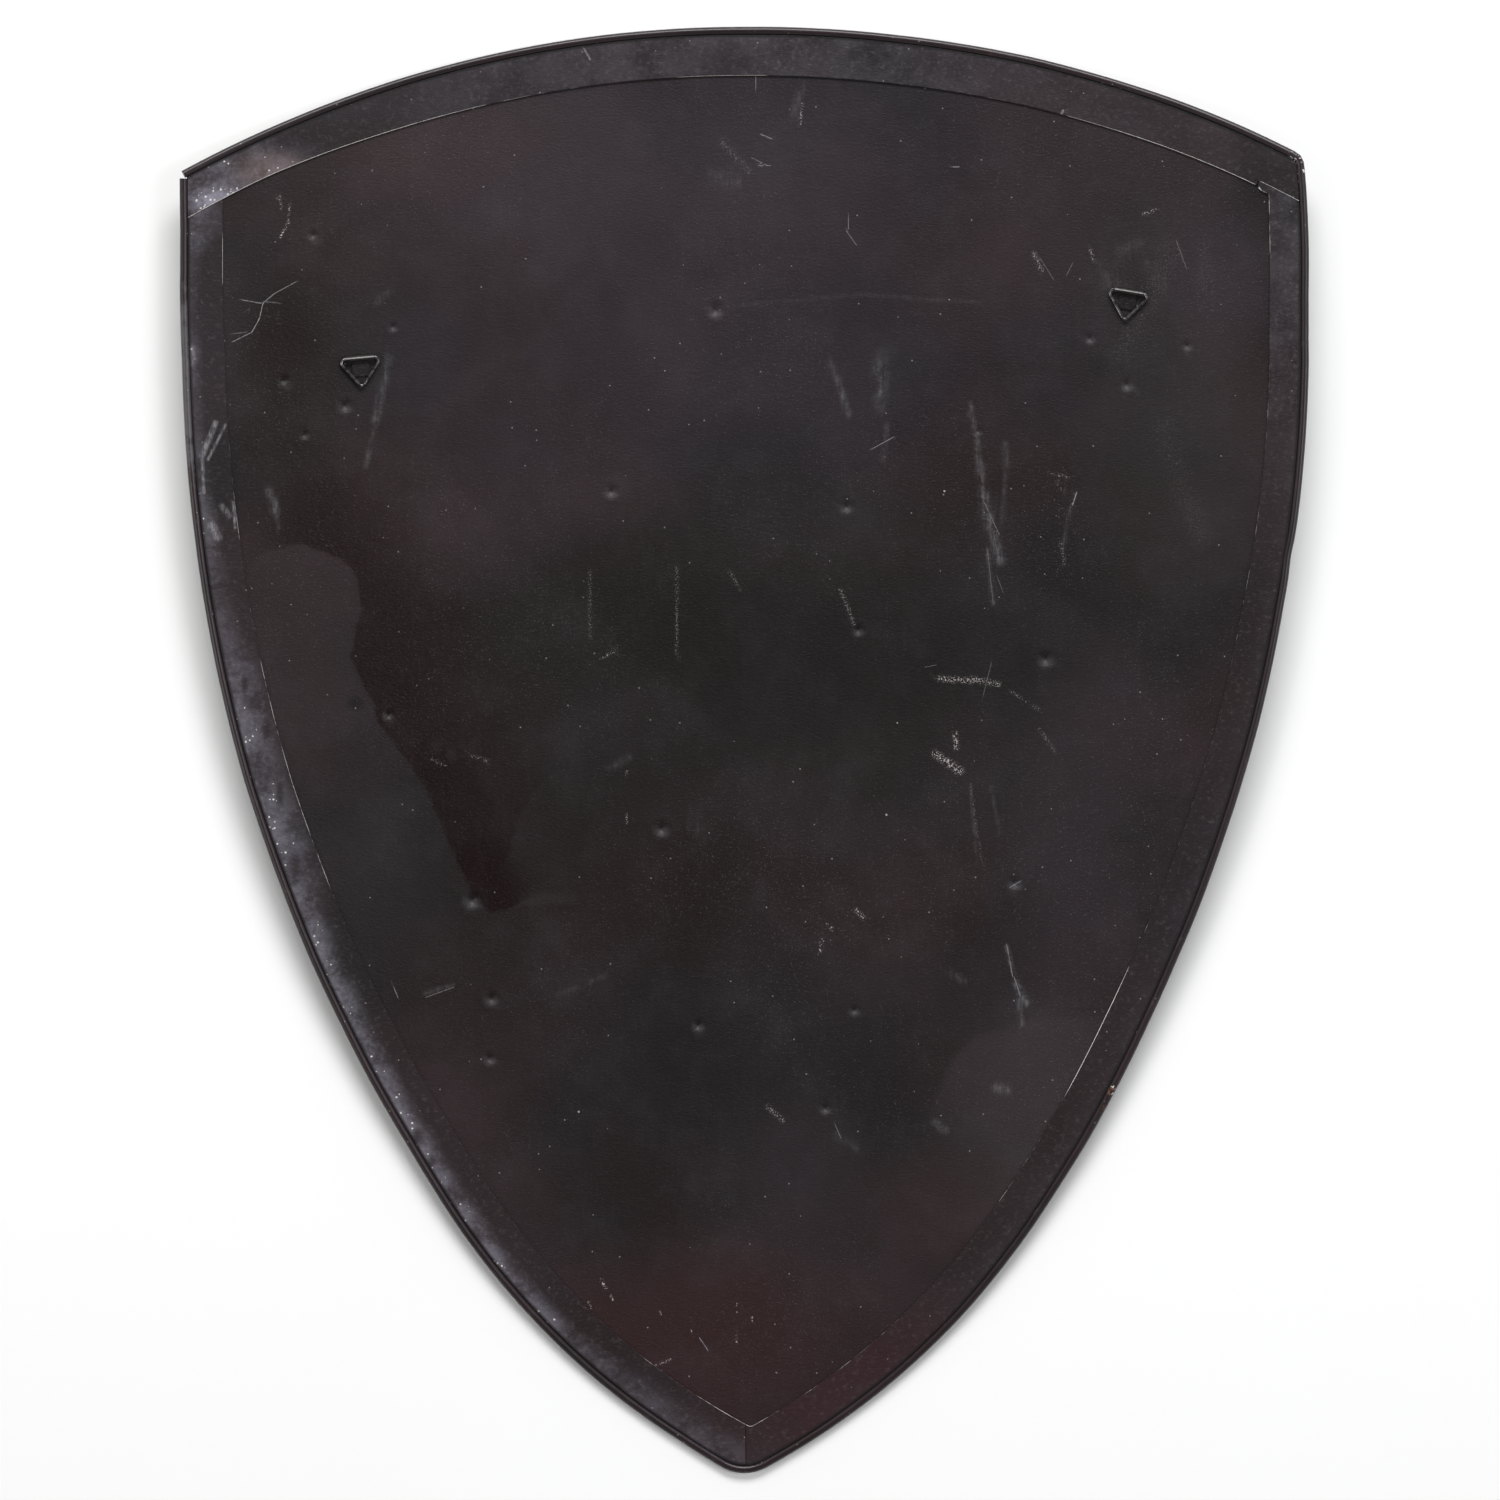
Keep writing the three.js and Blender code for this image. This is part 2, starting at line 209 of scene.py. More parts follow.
def makePaintClouds():  # slow changes of tone and tint over old paint
    pad, given, out = newShaderGroup(
        "paintClouds",
        {"Vector": ("vector", (0, 0, 0)), "Scale": ("value", 6.0), "Contrast": ("value", 1.0)},
        {"Tone": "value", "Warmth": "value"},
    )
    broad = pad.noise(given["Vector"], given["Scale"], 4.0, 0.5, 0.4)
    moved = pad.vector("ADD", given["Vector"], (3.1, -1.7, 0.4))
    tint = pad.noise(moved, pad.times(given["Scale"], 0.8), 2.0, 0.5)
    centred = pad.centred(broad)
    pad.feed(out["Tone"], pad.timesPlus(centred, given["Contrast"], 0.5))
    pad.feed(out["Warmth"], pad.ease(tint, 0.38, 0.62))
    return pad.tree


def makePaintGrain():  # the fine pebbling of a sprayed coat
    pad, given, out = newShaderGroup(
        "paintGrain",
        {"Vector": ("vector", (0, 0, 0)), "Size": ("value", 0.0012)},
        {"Height": "value", "Fleck": "value"},
    )
    scale = pad.math("DIVIDE", 1.0, given["Size"])
    coarse = pad.noise(given["Vector"], scale, 2.0, 0.6)
    fine = pad.noise(given["Vector"], pad.times(scale, 2.7), 1.0, 0.5)
    pad.feed(out["Height"], pad.timesPlus(fine, 0.4, coarse))
    pad.feed(out["Fleck"], pad.ease(coarse, 0.62, 0.8))
    return pad.tree


def makeDustSpecks():  # tiny pale chips and grit, thick in some places
    pad, given, out = newShaderGroup(
        "dustSpecks",
        {"Vector": ("vector", (0, 0, 0)), "Spacing": ("value", 0.012), "Size": ("value", 0.0006),
         "Amount": ("value", 0.4)},
        {"Mask": "value"},
    )
    scale = pad.math("DIVIDE", 1.0, given["Spacing"])
    cells = pad.node("ShaderNodeTexVoronoi", feature="F1")
    pad.feed(cells.inputs["Vector"], given["Vector"])
    pad.feed(cells.inputs["Scale"], scale)
    reach = pad.times(cells.outputs["Distance"], given["Spacing"])
    dot = pad.math("LESS_THAN", reach, given["Size"])
    split = pad.node("ShaderNodeSeparateColor")
    pad.feed(split.inputs[0], cells.outputs["Color"])
    chosen = pad.math("LESS_THAN", split.outputs[0], given["Amount"])
    pad.feed(out["Mask"], pad.times(dot, chosen))
    return pad.tree


def makeEdgeRub():  # paint rubbed to metal along an edge, in stretches; on the strap's roll it draws a painted highlight line
    pad, given, out = newShaderGroup(
        "edgeRub",
        {"Vector": ("vector", (0, 0, 0)), "From Edge": ("value", 0.01), "Width": ("value", 0.0005),
         "Worn": ("value", 0.5)},
        {"Mask": "value"},
    )
    ragged = pad.noise(given["Vector"], 900.0, 3.0, 0.6)
    wide = pad.times(given["Width"], pad.timesPlus(given["Worn"], 0.6, 0.4))
    reach = pad.times(wide, pad.timesPlus(ragged, 1.6, 0.2))
    onEdge = pad.ease(given["From Edge"], pad.times(reach, 0.4), reach, 1.0, 0.0)
    stretches = pad.noise(given["Vector"], 70.0, 4.0, 0.65)
    limit = pad.timesPlus(given["Worn"], -0.5, 0.78)
    kept = pad.ease(stretches, pad.math("SUBTRACT", limit, 0.08), pad.math("ADD", limit, 0.08))
    pad.feed(out["Mask"], pad.times(pad.times(onEdge, kept), given["Worn"], clamp=True))
    return pad.tree


dentMark = makeDentMark()
rubStroke = makeRubStroke()
softPatch = makeSoftPatch()
paintClouds = makePaintClouds()
paintGrain = makePaintGrain()
dustSpecks = makeDustSpecks()
edgeRub = makeEdgeRub()
print("shader groups built")

# Outline of the shield, measured over the rim rod
shield = {
    "width": 583.4 * mm,
    "height": 750 * mm,
    "crownRadius": 613.3 * mm,
    "crownShift": 5.6 * mm,         # the crown's highest point, right of the middle
    "widestBelowCrown": 153.5 * mm,
    "lowerSideRadius": 404.9 * mm,
    "upperSideAngle": math.radians(32.4),
    "tipRadius": 24 * mm,
    "rightCornerRadius": 8 * mm,
    "bendRadius": 1.7,              # of the sheet, about the Y axis
    "flatBand": 60 * mm,
    "rimDiameter": 4.2 * mm,
    "seatGap": 0.3 * mm,
    "tuck": 0.5 * mm,               # the sheet reaches this far under the rod's curve
    "sheetFront": 0.6 * mm,         # heights above the rod's lowest line
    "sheetBack": 1.8 * mm,
    "stripBottom": 2.1 * mm,
    "stripTop": 3.0 * mm,
}
crownCentre = Vector((shield["crownShift"], shield["height"] / 2 - shield["crownRadius"]))
tipCentre = Vector((0, shield["tipRadius"] - shield["height"] / 2))
widestY = shield["height"] / 2 - shield["widestBelowCrown"]


def findUpperSideRadius():  # the upper side arc runs into the lower one without a kink
    narrowing = 1 - math.cos(shield["upperSideAngle"])
    falling = math.sin(shield["upperSideAngle"])
    lower = shield["lowerSideRadius"]
    across = shield["width"] / 2 - lower * (1 - narrowing)
    down = tipCentre.y - widestY - lower * falling
    a = narrowing ** 2 + falling ** 2
    b = down * falling - across * narrowing
    c = across ** 2 + down ** 2 - (lower - shield["tipRadius"]) ** 2
    return (-b - math.sqrt(b * b - a * c)) / a


upperSideRadius = findUpperSideRadius()
upperSideCentre = Vector((shield["width"] / 2 - upperSideRadius, widestY))
sideStep = upperSideRadius - shield["lowerSideRadius"]
lowerSideCentre = upperSideCentre + sideStep * Vector((math.cos(shield["upperSideAngle"]),
                                                       -math.sin(shield["upperSideAngle"])))


def mirrored(point):
    return Vector((-point[0], point[1]))


def crossing(centreA, radiusA, centreB, radiusB):  # the upper crossing of two circles
    apart = centreB - centreA
    distance = apart.length
    along = (radiusA ** 2 - radiusB ** 2 + distance ** 2) / (2 * distance)
    aside = math.sqrt(radiusA ** 2 - along ** 2)
    apart.normalize()
    normal = Vector((-apart.y, apart.x))
    if normal.y < 0:
        normal.negate()
    return centreA + apart * along + normal * aside


def direction(start, end):
    return math.atan2(end.y - start.y, end.x - start.x)


def arcPoints(centre, radius, start, end, count=240):  # counter-clockwise
    turn = (end - start) % (2 * math.pi)
    angles = start + turn * np.linspace(0, 1, count)
    return np.stack([centre.x + radius * np.cos(angles), centre.y + radius * np.sin(angles)], axis=1)


def outlineRuns(inset):  # the outline moved inwards, in runs that follow each other round it
    corner = max(shield["rightCornerRadius"] - inset, 0.5 * mm)
    cornerCentre = crossing(crownCentre, shield["crownRadius"] - inset - corner,
                            upperSideCentre, upperSideRadius - inset - corner)
    leftCorner = crossing(crownCentre, shield["crownRadius"] - inset,
                          mirrored(upperSideCentre), upperSideRadius - inset)
    upper, lower = upperSideRadius - inset, shield["lowerSideRadius"] - inset
    bend = shield["upperSideAngle"]
    leftUpper, leftLower = mirrored(upperSideCentre), mirrored(lowerSideCentre)
    left = [arcPoints(leftUpper, upper, direction(leftUpper, leftCorner), math.pi + bend),
            arcPoints(leftLower, lower, math.pi + bend, direction(leftLower, tipCentre))]
    right = [arcPoints(lowerSideCentre, lower, direction(lowerSideCentre, tipCentre), -bend),
             arcPoints(upperSideCentre, upper, -bend, direction(upperSideCentre, cornerCentre))]
    return {
        "left": joined(*left),
        "tip": arcPoints(tipCentre, shield["tipRadius"] - inset, direction(leftLower, tipCentre),
                         direction(lowerSideCentre, tipCentre), 60),
        "right": joined(*right),
        "corner": arcPoints(cornerCentre, corner, direction(upperSideCentre, cornerCentre),
                            direction(crownCentre, cornerCentre), 30),
        "crown": arcPoints(crownCentre, shield["crownRadius"] - inset,
                           direction(crownCentre, cornerCentre), direction(crownCentre, leftCorner)),
    }


def onCrown(x, inset):
    radius = shield["crownRadius"] - inset
    return np.stack([x, crownCentre.y + np.sqrt(radius ** 2 - (x - crownCentre.x) ** 2)], axis=1)


def joined(*runs):
    kept = [runs[0]]
    for run in runs[1:]:
        kept.append(run[1:] if np.hypot(*(run[0] - kept[-1][-1])) < 0.01 * mm else run)
    return np.concatenate(kept)


def evenly(points, count):
    steps = np.hypot(*np.diff(points, axis=0).T)
    along = np.concatenate([[0], np.cumsum(steps)])
    wanted = np.linspace(0, along[-1], count)
    return np.stack([np.interp(wanted, along, points[:, k]) for k in range(points.shape[1])], axis=1)


def bentHeight(x, above):  # the bent surface this far above the rod's lowest line
    past = np.maximum(np.abs(x) - shield["flatBand"] / 2, 0)
    return shield["bendRadius"] - np.sqrt((shield["bendRadius"] - above) ** 2 - past ** 2)


# How far the hand-bent outline stands out from the even one, in millimetres by height, and over the crown
unevenness = {
    "left": ((-375, 0), (-356, -1.5), (-325, -1.4), (-294, -1.85), (-263, -2.1), (-232, -2.3),
             (-202, -2.3), (-170, -1.4), (-139, -1.0), (-108, -0.25), (-78, -0.1), (-47, 0.2),
             (-16, 0.75), (15, 0.55), (46, 0.3), (77, 0), (108, -0.4), (139, -0.5), (170, -0.8),
             (201, -0.9), (237, 0), (248, 0.15), (258, 0.5), (268, 0.95), (276, 1.55), (285, 2.3),
             (292, 2.9), (297, 3.35)),
    "right": ((-375, 0), (-325, 0), (-294, -0.35), (-263, -1.0), (-232, -1.0), (-202, -0.35),
              (-170, -0.5), (-139, -0.95), (-108, -0.9), (-78, -0.4), (-47, -0.4), (15, 0.2),
              (77, -0.15), (108, 0.4), (139, 0.55), (170, 0.45), (201, 0.25), (212, -0.08),
              (234, -0.08), (258, 0.8), (290, 1.4), (310, 1.4)),
    "crown": ((-290, 0.2), (-251, 0.6), (-215, 0.9), (-180, 0.95), (-106, 0.85), (-70, 0.7),
              (-35, 0.35), (0, 0), (75, 0.1), (112, 0.5), (148, 1.0), (220, 1.15), (257, 1.0),
              (285, 0.7)),
}


def spread(value, *knots):  # from one value to the next along a coordinate, in millimetres
    places, values = zip(*sorted(knots))
    return np.interp(value / mm, places, values)


def unevenly(flat):  # moves points of the even outline's inside to where the hand-bent one has them
    x, y = flat[:, 0], flat[:, 1]
    runs = outlineRuns(0)
    side = joined(runs["left"][::-1][-1:], runs["tip"], runs["right"], runs["corner"])
    sideX = np.interp(y, side[side[:, 0] > 0][:, 1], side[side[:, 0] > 0][:, 0])
    near = rise(np.abs(x) / np.maximum(sideX, 1 * mm), 0.6, 0.88)
    out = np.where(x < 0, -spread(y, *unevenness["left"]), spread(y, *unevenness["right"])) * mm * near
    crownY = onCrown(np.clip(x, -0.29, 0.29), 0)[:, 1]
    up = spread(x, *unevenness["crown"]) * mm * rise(y - crownY, -90 * mm, -30 * mm)
    # the left corner slides along the crown
    down = np.where(x < 0, 0.5 * out, 0) * rise(y - crownY, -26 * mm, -6 * mm)
    return np.column_stack([x + out, y + up + np.minimum(down, 0)])


def patchGrid(bottom, top, left, right):  # fills four edges with an even net of points
    u = np.linspace(0, 1, len(bottom))[None, :, None]
    v = np.linspace(0, 1, len(left))[:, None, None]
    ruled = (1 - v) * bottom[None] + v * top[None] + (1 - u) * left[:, None] + u * right[:, None]
    corners = ((1 - u) * (1 - v) * bottom[0] + u * (1 - v) * bottom[-1]
               + (1 - u) * v * top[0] + u * v * top[-1])
    return ruled - corners


def netFaces(rows, columns, start=0, flip=False):  # of a net of points, row by row
    i, j = np.meshgrid(np.arange(rows - 1), np.arange(columns - 1), indexing="ij")
    a = (start + i * columns + j).ravel()
    faces = np.stack([a, a + 1, a + columns + 1, a + columns], axis=1)
    return faces[:, ::-1] if flip else faces


def closedFaces(rows, columns):  # two nets of points, one over the other, and the wall between their edges
    count = rows * columns
    edge = np.concatenate([
        np.arange(columns), np.arange(1, rows) * columns + columns - 1,
        (rows - 1) * columns + np.arange(columns - 2, -1, -1), np.arange(rows - 2, 0, -1) * columns,
    ])
    after = np.roll(edge, -1)
    walls = np.stack([edge, edge + count, after + count, after], axis=1)
    return np.concatenate([netFaces(rows, columns), netFaces(rows, columns, count, True), walls])


def closedMesh(name, points, rows, columns):
    mesh = bpy.data.meshes.new(name)
    mesh.from_pydata(points.tolist(), [], closedFaces(rows, columns).tolist())
    mesh.update()
    return mesh


def slabMesh(name, grid, heightTop, heightBottom):  # a closed sheet over a net of points
    flat = grid.reshape(-1, 2)
    over = np.column_stack([flat, heightTop.ravel()])
    under = np.column_stack([flat, heightBottom.ravel()])
    return closedMesh(name, np.concatenate([over, under]), *grid.shape[:2])


def pieceFrom(name, mesh):
    piece = bpy.data.objects.new(name, mesh)
    bpy.context.scene.collection.objects.link(piece)
    return piece


def roundEdges(piece, width):
    bevel = piece.modifiers.new("edgeRound", "BEVEL")
    bevel.width = width
    bevel.segments = 2
    bevel.limit_method = "ANGLE"
    bevel.angle_limit = math.radians(50)


def readPlaces(mesh):
    places = np.zeros(len(mesh.vertices) * 3)
    mesh.vertices.foreach_get("co", places)
    return places.reshape(-1, 3)


def rise(values, low, high):
    share = np.clip((values - low) / (high - low), 0, 1)
    return share * share * (3 - 2 * share)


def setValues(mesh, name, values):  # a number for each point, for the material to read
    mesh.attributes.new(name, "FLOAT", "POINT").data.foreach_set("value", np.asarray(values, np.float32))


def smooth(mesh, angle=35):
    mesh.polygons.foreach_set("use_smooth", [True] * len(mesh.polygons))
    mesh.set_sharp_from_angle(angle=math.radians(angle))


def distanceFromLine(points, line):  # positive on the left hand of the line's run; also how far along
    best = np.full(len(points), 1e9)
    signed = np.zeros(len(points))
    along = np.zeros(len(points))
    passed, whole = 0.0, np.hypot(*np.diff(line, axis=0).T).sum()
    for start, end in zip(line[:-1], line[1:]):
        run = end - start
        share = np.clip(((points - start) @ run) / (run @ run), 0, 1)
        away = points - start - share[:, None] * run
        distance = np.hypot(away[:, 0], away[:, 1])
        side = run[0] * (points[:, 1] - start[1]) - run[1] * (points[:, 0] - start[0])
        nearer = distance < best - 1e-9
        best[nearer] = distance[nearer]
        signed[nearer] = (np.sign(side) * distance)[nearer]
        along[nearer] = ((passed + share * np.hypot(*run)) / whole)[nearer]
        passed += np.hypot(*run)
    return signed, along


print("outline worked out, upper side radius", round(upperSideRadius / mm, 1))

# Marks on the hollow back, in millimetres right of and above the middle
backMarks = {
    # a pit's place and radius
    "dents": [(-15, 228, 5.2), (-69, 134, 4.6), (53, 126, 4.4), (-43, -41, 5.2), (-141, -78, 5.6),
              (156, 47, 5.4), (-184, 18, 3.6), (-207, 178, 4.6), (-182, 219, 3.2), (-239, 191, 3.6),
              (140, -69, 4.8), (57, -135, 3.8), (-131, -129, 4.6), (229, 209, 3.6), (198, 189, 4.4),
              (179, 213, 3.6), (-223, 266, 3.4), (59, 62, 3.8), (-24, -143, 4.2), (-132, -160, 4.2),
              (42, -186, 3.8), (-228, 163, 3.2), (121, 165, 2.8)],
    # from, to, half width, strength
    "hazes": [((44, 201), (48, 193), 3.51, 0.45), ((48, 193), (54, 174), 3.51, 0.7),
              ((70, 202), (70, 193), 7.43, 0.5), ((70, 193), (71, 178), 4.32, 0.7),
              ((74, 168), (72, 150), 3.51, 0.35), ((117, 179), (121, 157), 3.51, 0.75),
              ((121, 157), (124, 132), 4.05, 0.8), ((124, 131), (128, 115), 5.67, 1),
              ((128, 115), (133, 98), 4.32, 1), ((126, 104), (129, 76), 2.16, 0.7),
              ((135, 158), (136, 147), 3.51, 0.45), ((136, 147), (133, 115), 2.43, 0.35),
              ((171, 132), (168, 121), 2.43, 0.6), ((168, 121), (165, 104), 2.16, 0.35),
              ((-187, 189), (-191, 170), 4.32, 0.6), ((-191, 170), (-196, 147), 2.7, 0.5),
              ((-246, 135), (-243, 124), 4.59, 1), ((-243, 124), (-241, 115), 2.16, 0.8),
              ((-190, 232), (-184, 238), 4.05, 0.35), ((-17, 298), (-5, 294), 8.1, 0.35),
              ((30, 345), (26, 330), 4.59, 0.35), ((208, 252), (216, 240), 5.4, 0.3),
              ((186, 246), (196, 236), 8.78, 0.28), ((196, 258), (203, 262), 5.4, 0.4),
              ((-166, -126), (-151, -122), 2.43, 0.5), ((-97, -127), (-72, -117), 2.97, 0.22),
              ((136, -102), (141, -121), 2.43, 0.8), ((141, -121), (146, -131), 4.05, 1),
              ((142, -126), (144, -142), 2.97, 0.6), ((107, -115), (114, -120), 4.32, 0.4),
              ((131, -175), (136, -176), 4.86, 1.2), ((99, -193), (104, -197), 4.32, 0.6),
              ((48, -200), (58, -206), 4.05, 0.3), ((-28, -36), (-20, -44), 5.4, 0.2),
              ((-71, -10), (-60, -4), 4.05, 0.25), ((122, 232), (60, 236), 2.16, 0.22),
              ((60, 236), (-20, 229), 2.16, 0.16), ((128, -19), (132, -43), 1.89, 0.4),
              ((117, -18), (121, -60), 1.89, 0.35), ((-184, 203), (-187, 189), 4, 0.55),
              ((72, 196), (70, 178), 6.5, 0.5)],
    "scratches": [((-232, 242), (-243, 236), 0.2, 0.75), ((-243, 236), (-249, 231), 0.21, 0.85),
                  ((-249, 231), (-251, 223), 0.21, 0.94), ((-251, 223), (-255, 216), 0.21, 0.94),
                  ((-255, 216), (-265, 211), 0.21, 0.85), ((66, 156), (77, 162), 0.22, 0.68),
                  ((124, 129), (132, 112), 0.25, 0.41), ((126, 104), (129, 76), 0.25, 0.29),
                  ((129, 113), (132, 98), 0.22, 0.33), ((131, 90), (134, 82), 0.22, 0.25),
                  ((172, 133), (170, 127), 0.37, 0.75), ((-182, -123), (-180, -128), 0.25, 0.6),
                  ((-165, -128), (-151, -123), 0.22, 0.45), ((138, -71), (143, -68), 0.25, 0.6),
                  ((136, -101), (139, -117), 0.25, 0.6), ((140, -118), (143, -127), 0.25, 0.6),
                  ((6, 349), (6, 344), 0.25, 0.52), ((9, 319), (14, 317), 0.37, 0.52),
                  ((4, 307), (12, 303), 0.25, 0.38), ((8, 303), (13, 303), 0.31, 0.52),
                  ((108, 302), (111, 302), 0.31, 0.68), ((54, 275), (54, 270), 0.25, 0.45),
                  ((53, 269), (58, 262), 0.25, 0.38), ((153, 255), (160, 244), 0.25, 0.3),
                  ((223, 263), (228, 250), 0.22, 0.3), ((167, 246), (170, 252), 0.25, 0.3),
                  ((47, -194), (50, -201), 0.25, 0.38), ((94, 43), (99, 44), 0.22, 0.3),
                  ((124, 29), (128, 45), 0.22, 0.26), ((-23, -305), (-19, -311), 0.25, 0.7)],
    "branches": [((-262, 233), (-250, 231), 0.3, 0.64), ((-266, 215), (-258, 216), 0.3, 0.32),
                 ((-248, 232), (-240, 231), 0.36, 0.32)],
    "chips": [((50, 83), (57, 65), 1.6, 0.5), ((101, 37), (118, 36), 2.6, 1),
              ((118, 37), (132, 34), 2.4, 0.8), ((109, 9), (110, 1), 2.2, 0.9),
              ((99, -2), (112, -11), 3.4, 1.1), ((137, 31), (154, 20), 1.2, 0.4),
              ((153, 11), (161, -1), 1.6, 0.25), ((117, -18), (124, -62), 1, 0.16),
              ((164, 107), (166, 96), 1.4, 0.35), ((12, -185), (20, -192), 2.4, 0.45),
              ((195, 206), (222, 258), 12, 0.05), ((236, 262), (240, 232), 9, 0.05),
              ((30, 335), (29, 324), 1.3, 0.6), ((-12, 316), (2, 300), 4, 0.12),
              ((150, 257), (154, 248), 2.4, 0.4), ((-206, -152), (-204, -178), 3, 0.2),
              ((-64, -330), (-44, -322), 2.6, 0.4), ((-112, -271), (-100, -281), 2.6, 0.25),
              ((216, 166), (236, 110), 10, 0.05), ((-80, 93), (-80, 58), 1.6, 0.2),
              ((-35, 96), (-35, 50), 1.5, 0.26), ((-8, 93), (-2, 83), 1.6, 0.25),
              ((-74, 47.5), (-68, 51), 1.1, 1), ((-61, -11), (-61, -13), 0.8, 0.8),
              ((-61, -33), (-61, -38), 0.9, 0.7), ((58, -83), (62, -87), 1.8, 0.9),
              ((43, -90), (46, -93), 1.4, 0.9), ((40, -97), (39, -106), 1, 0.8),
              ((-74, -275), (-72, -279), 1.6, 1), ((-69, -283), (-68, -285), 1.2, 1),
              ((-81, -286), (-80, -289), 1.2, 0.8), ((-4, -304), (-4, -308), 1, 0.5),
              ((4, -294), (4, -296), 0.9, 0.8), ((-4, -287), (-4, -288), 0.8, 0.8),
              ((-44, -291), (-43, -293), 0.9, 0.7), ((-28, -300), (-27, -302), 0.9, 0.7),
              ((-46, -319), (-38, -316), 1.2, 0.6), ((-233, 283), (-235, 272), 0.7, 0.8),
              ((-235, 272), (-239, 265), 1, 1.2), ((-237.6, 283), (-237.6, 279), 0.7, 0.7),
              ((160, 143), (168, 141), 1.6, 0.3), ((162, 139), (166, 133), 2.2, 0.18),
              ((206, 277), (213, 279), 1, 0.8), ((179, 259), (181, 253), 1.2, 0.6),
              ((-162, -5), (-155, -8), 1.4, 0.4), ((-142, -3), (-134, -5), 1.2, 0.4)],
    # clouds of tone and tint, lighter towards the top: middle, half size, colour, strength
    "clouds": [((-40, 296), (170, 60), (84, 72, 86), 0.5), ((-165, 318), (80, 34), (86, 62, 64), 0.55),
               ((110, 315), (95, 50), (52, 42, 52), 0.5), ((212, 262), (60, 40), (56, 50, 53), 0.5),
               ((-10, 200), (170, 70), (72, 60, 76), 0.45), ((-120, 135), (50, 50), (76, 58, 70), 0.4),
               ((-228, 150), (24, 52), (44, 42, 38), 0.5), ((-20, 62), (200, 58), (14, 12, 11), 0.85),
               ((30, 118), (80, 24), (40, 36, 36), 0.45), ((226, 150), (44, 90), (58, 54, 54), 0.5),
               ((40, -20), (130, 56), (32, 32, 33), 0.55), ((-60, -110), (150, 70), (30, 20, 21), 0.5),
               ((20, -150), (70, 44), (38, 32, 34), 0.45), ((116, -160), (34, 34), (34, 22, 22), 0.6),
               ((150, -190), (60, 56), (88, 80, 82), 0.55), ((96, -236), (40, 32), (80, 54, 58), 0.55),
               ((-20, -300), (120, 50), (84, 50, 52), 0.65), ((-232, 52), (34, 52), (60, 50, 51), 0.4),
               ((-190, -60), (30, 70), (60, 50, 54), 0.45), ((-201, 24), (5, 4), (8, 4, 4), 0.8),
               ((-140, 8), (50, 44), (32, 10, 8), 0.7), ((-60, 0), (70, 40), (30, 24, 25), 0.5),
               ((-160, 2), (4, 5), (74, 68, 66), 0.8), ((-152, -3), (3, 4), (74, 68, 66), 0.8),
               ((-104, -77), (22, 4), (72, 66, 64), 0.6), ((-240, 198), (34, 56), (30, 8, 4), 0.95),
               ((4, 150), (40, 34), (14, 8, 8), 0.5), ((-20, -78), (80, 40), (26, 6, 6), 0.5),
               ((-10, -318), (90, 44), (70, 24, 30), 0.35), ((-80, 58), (90, 50), (28, 8, 6), 0.5),
               ((-40, -50), (100, 56), (32, 8, 6), 0.4), ((244, 248), (30, 46), (88, 72, 84), 0.45)],
    # the crisp edge of a dull dark stain, and of a paler patch low on the right
    "stainEdge": [(-262, 84), (-256, 96), (-244, 104), (-228, 106), (-212, 100), (-204, 94),
                  (-200, 87), (-199, 72), (-202, 59), (-204, 48), (-200, 38), (-196, 31), (-192, 24),
                  (-191, 17), (-184, 5), (-175, -6), (-167, -17), (-161, -31), (-156, -42),
                  (-148, -60), (-143, -70), (-140, -78), (-132, -85), (-119, -81), (-109, -76),
                  (-103, -72)],
    "paleEdge": [(90, -205), (99, -178), (106, -162), (120, -148), (150, -139), (190, -137),
                 (215, -132)],
}


# The sheet
sheetWork = {
    "columns": 132,
    "rows": 184,
    "sway": 0.35 * mm,      # slow ups and downs of hand-worked sheet
    "swayWaves": 14,
    "swayLength": (0.07, 0.24),
    "pitDepth": 1.1 * mm,   # of a dent as wide as pitWide
    "pitWide": 5 * mm,
    "markCuts": 4,          # the mesh is this many cuts finer at dents and marks
    "markEdge": 1.6 * mm,   # and as far round them
    "broadMark": 5,         # a soft mark this wide in mm needs no finer mesh
    "calmEdge": 30 * mm,    # no sway where strips lie on the sheet
    "calmHanger": 14 * mm,
    "calmRim": 12 * mm,     # no dents at the very edge
    "frontDeepest": 0.5 * mm,
    "scratchEnd": 0.9 * mm,            # a scratch thins out over this past its ends
    "scratchReach": (2.2 * mm, 3.4 * mm),
    "seed": 11,
}
hangers = {
    "left": {"x": -199.2 * mm, "y": 202.7 * mm, "turn": math.radians(5.4)},
    "right": {"x": 199.2 * mm, "y": 237.1 * mm, "turn": math.radians(-9.6)},
}


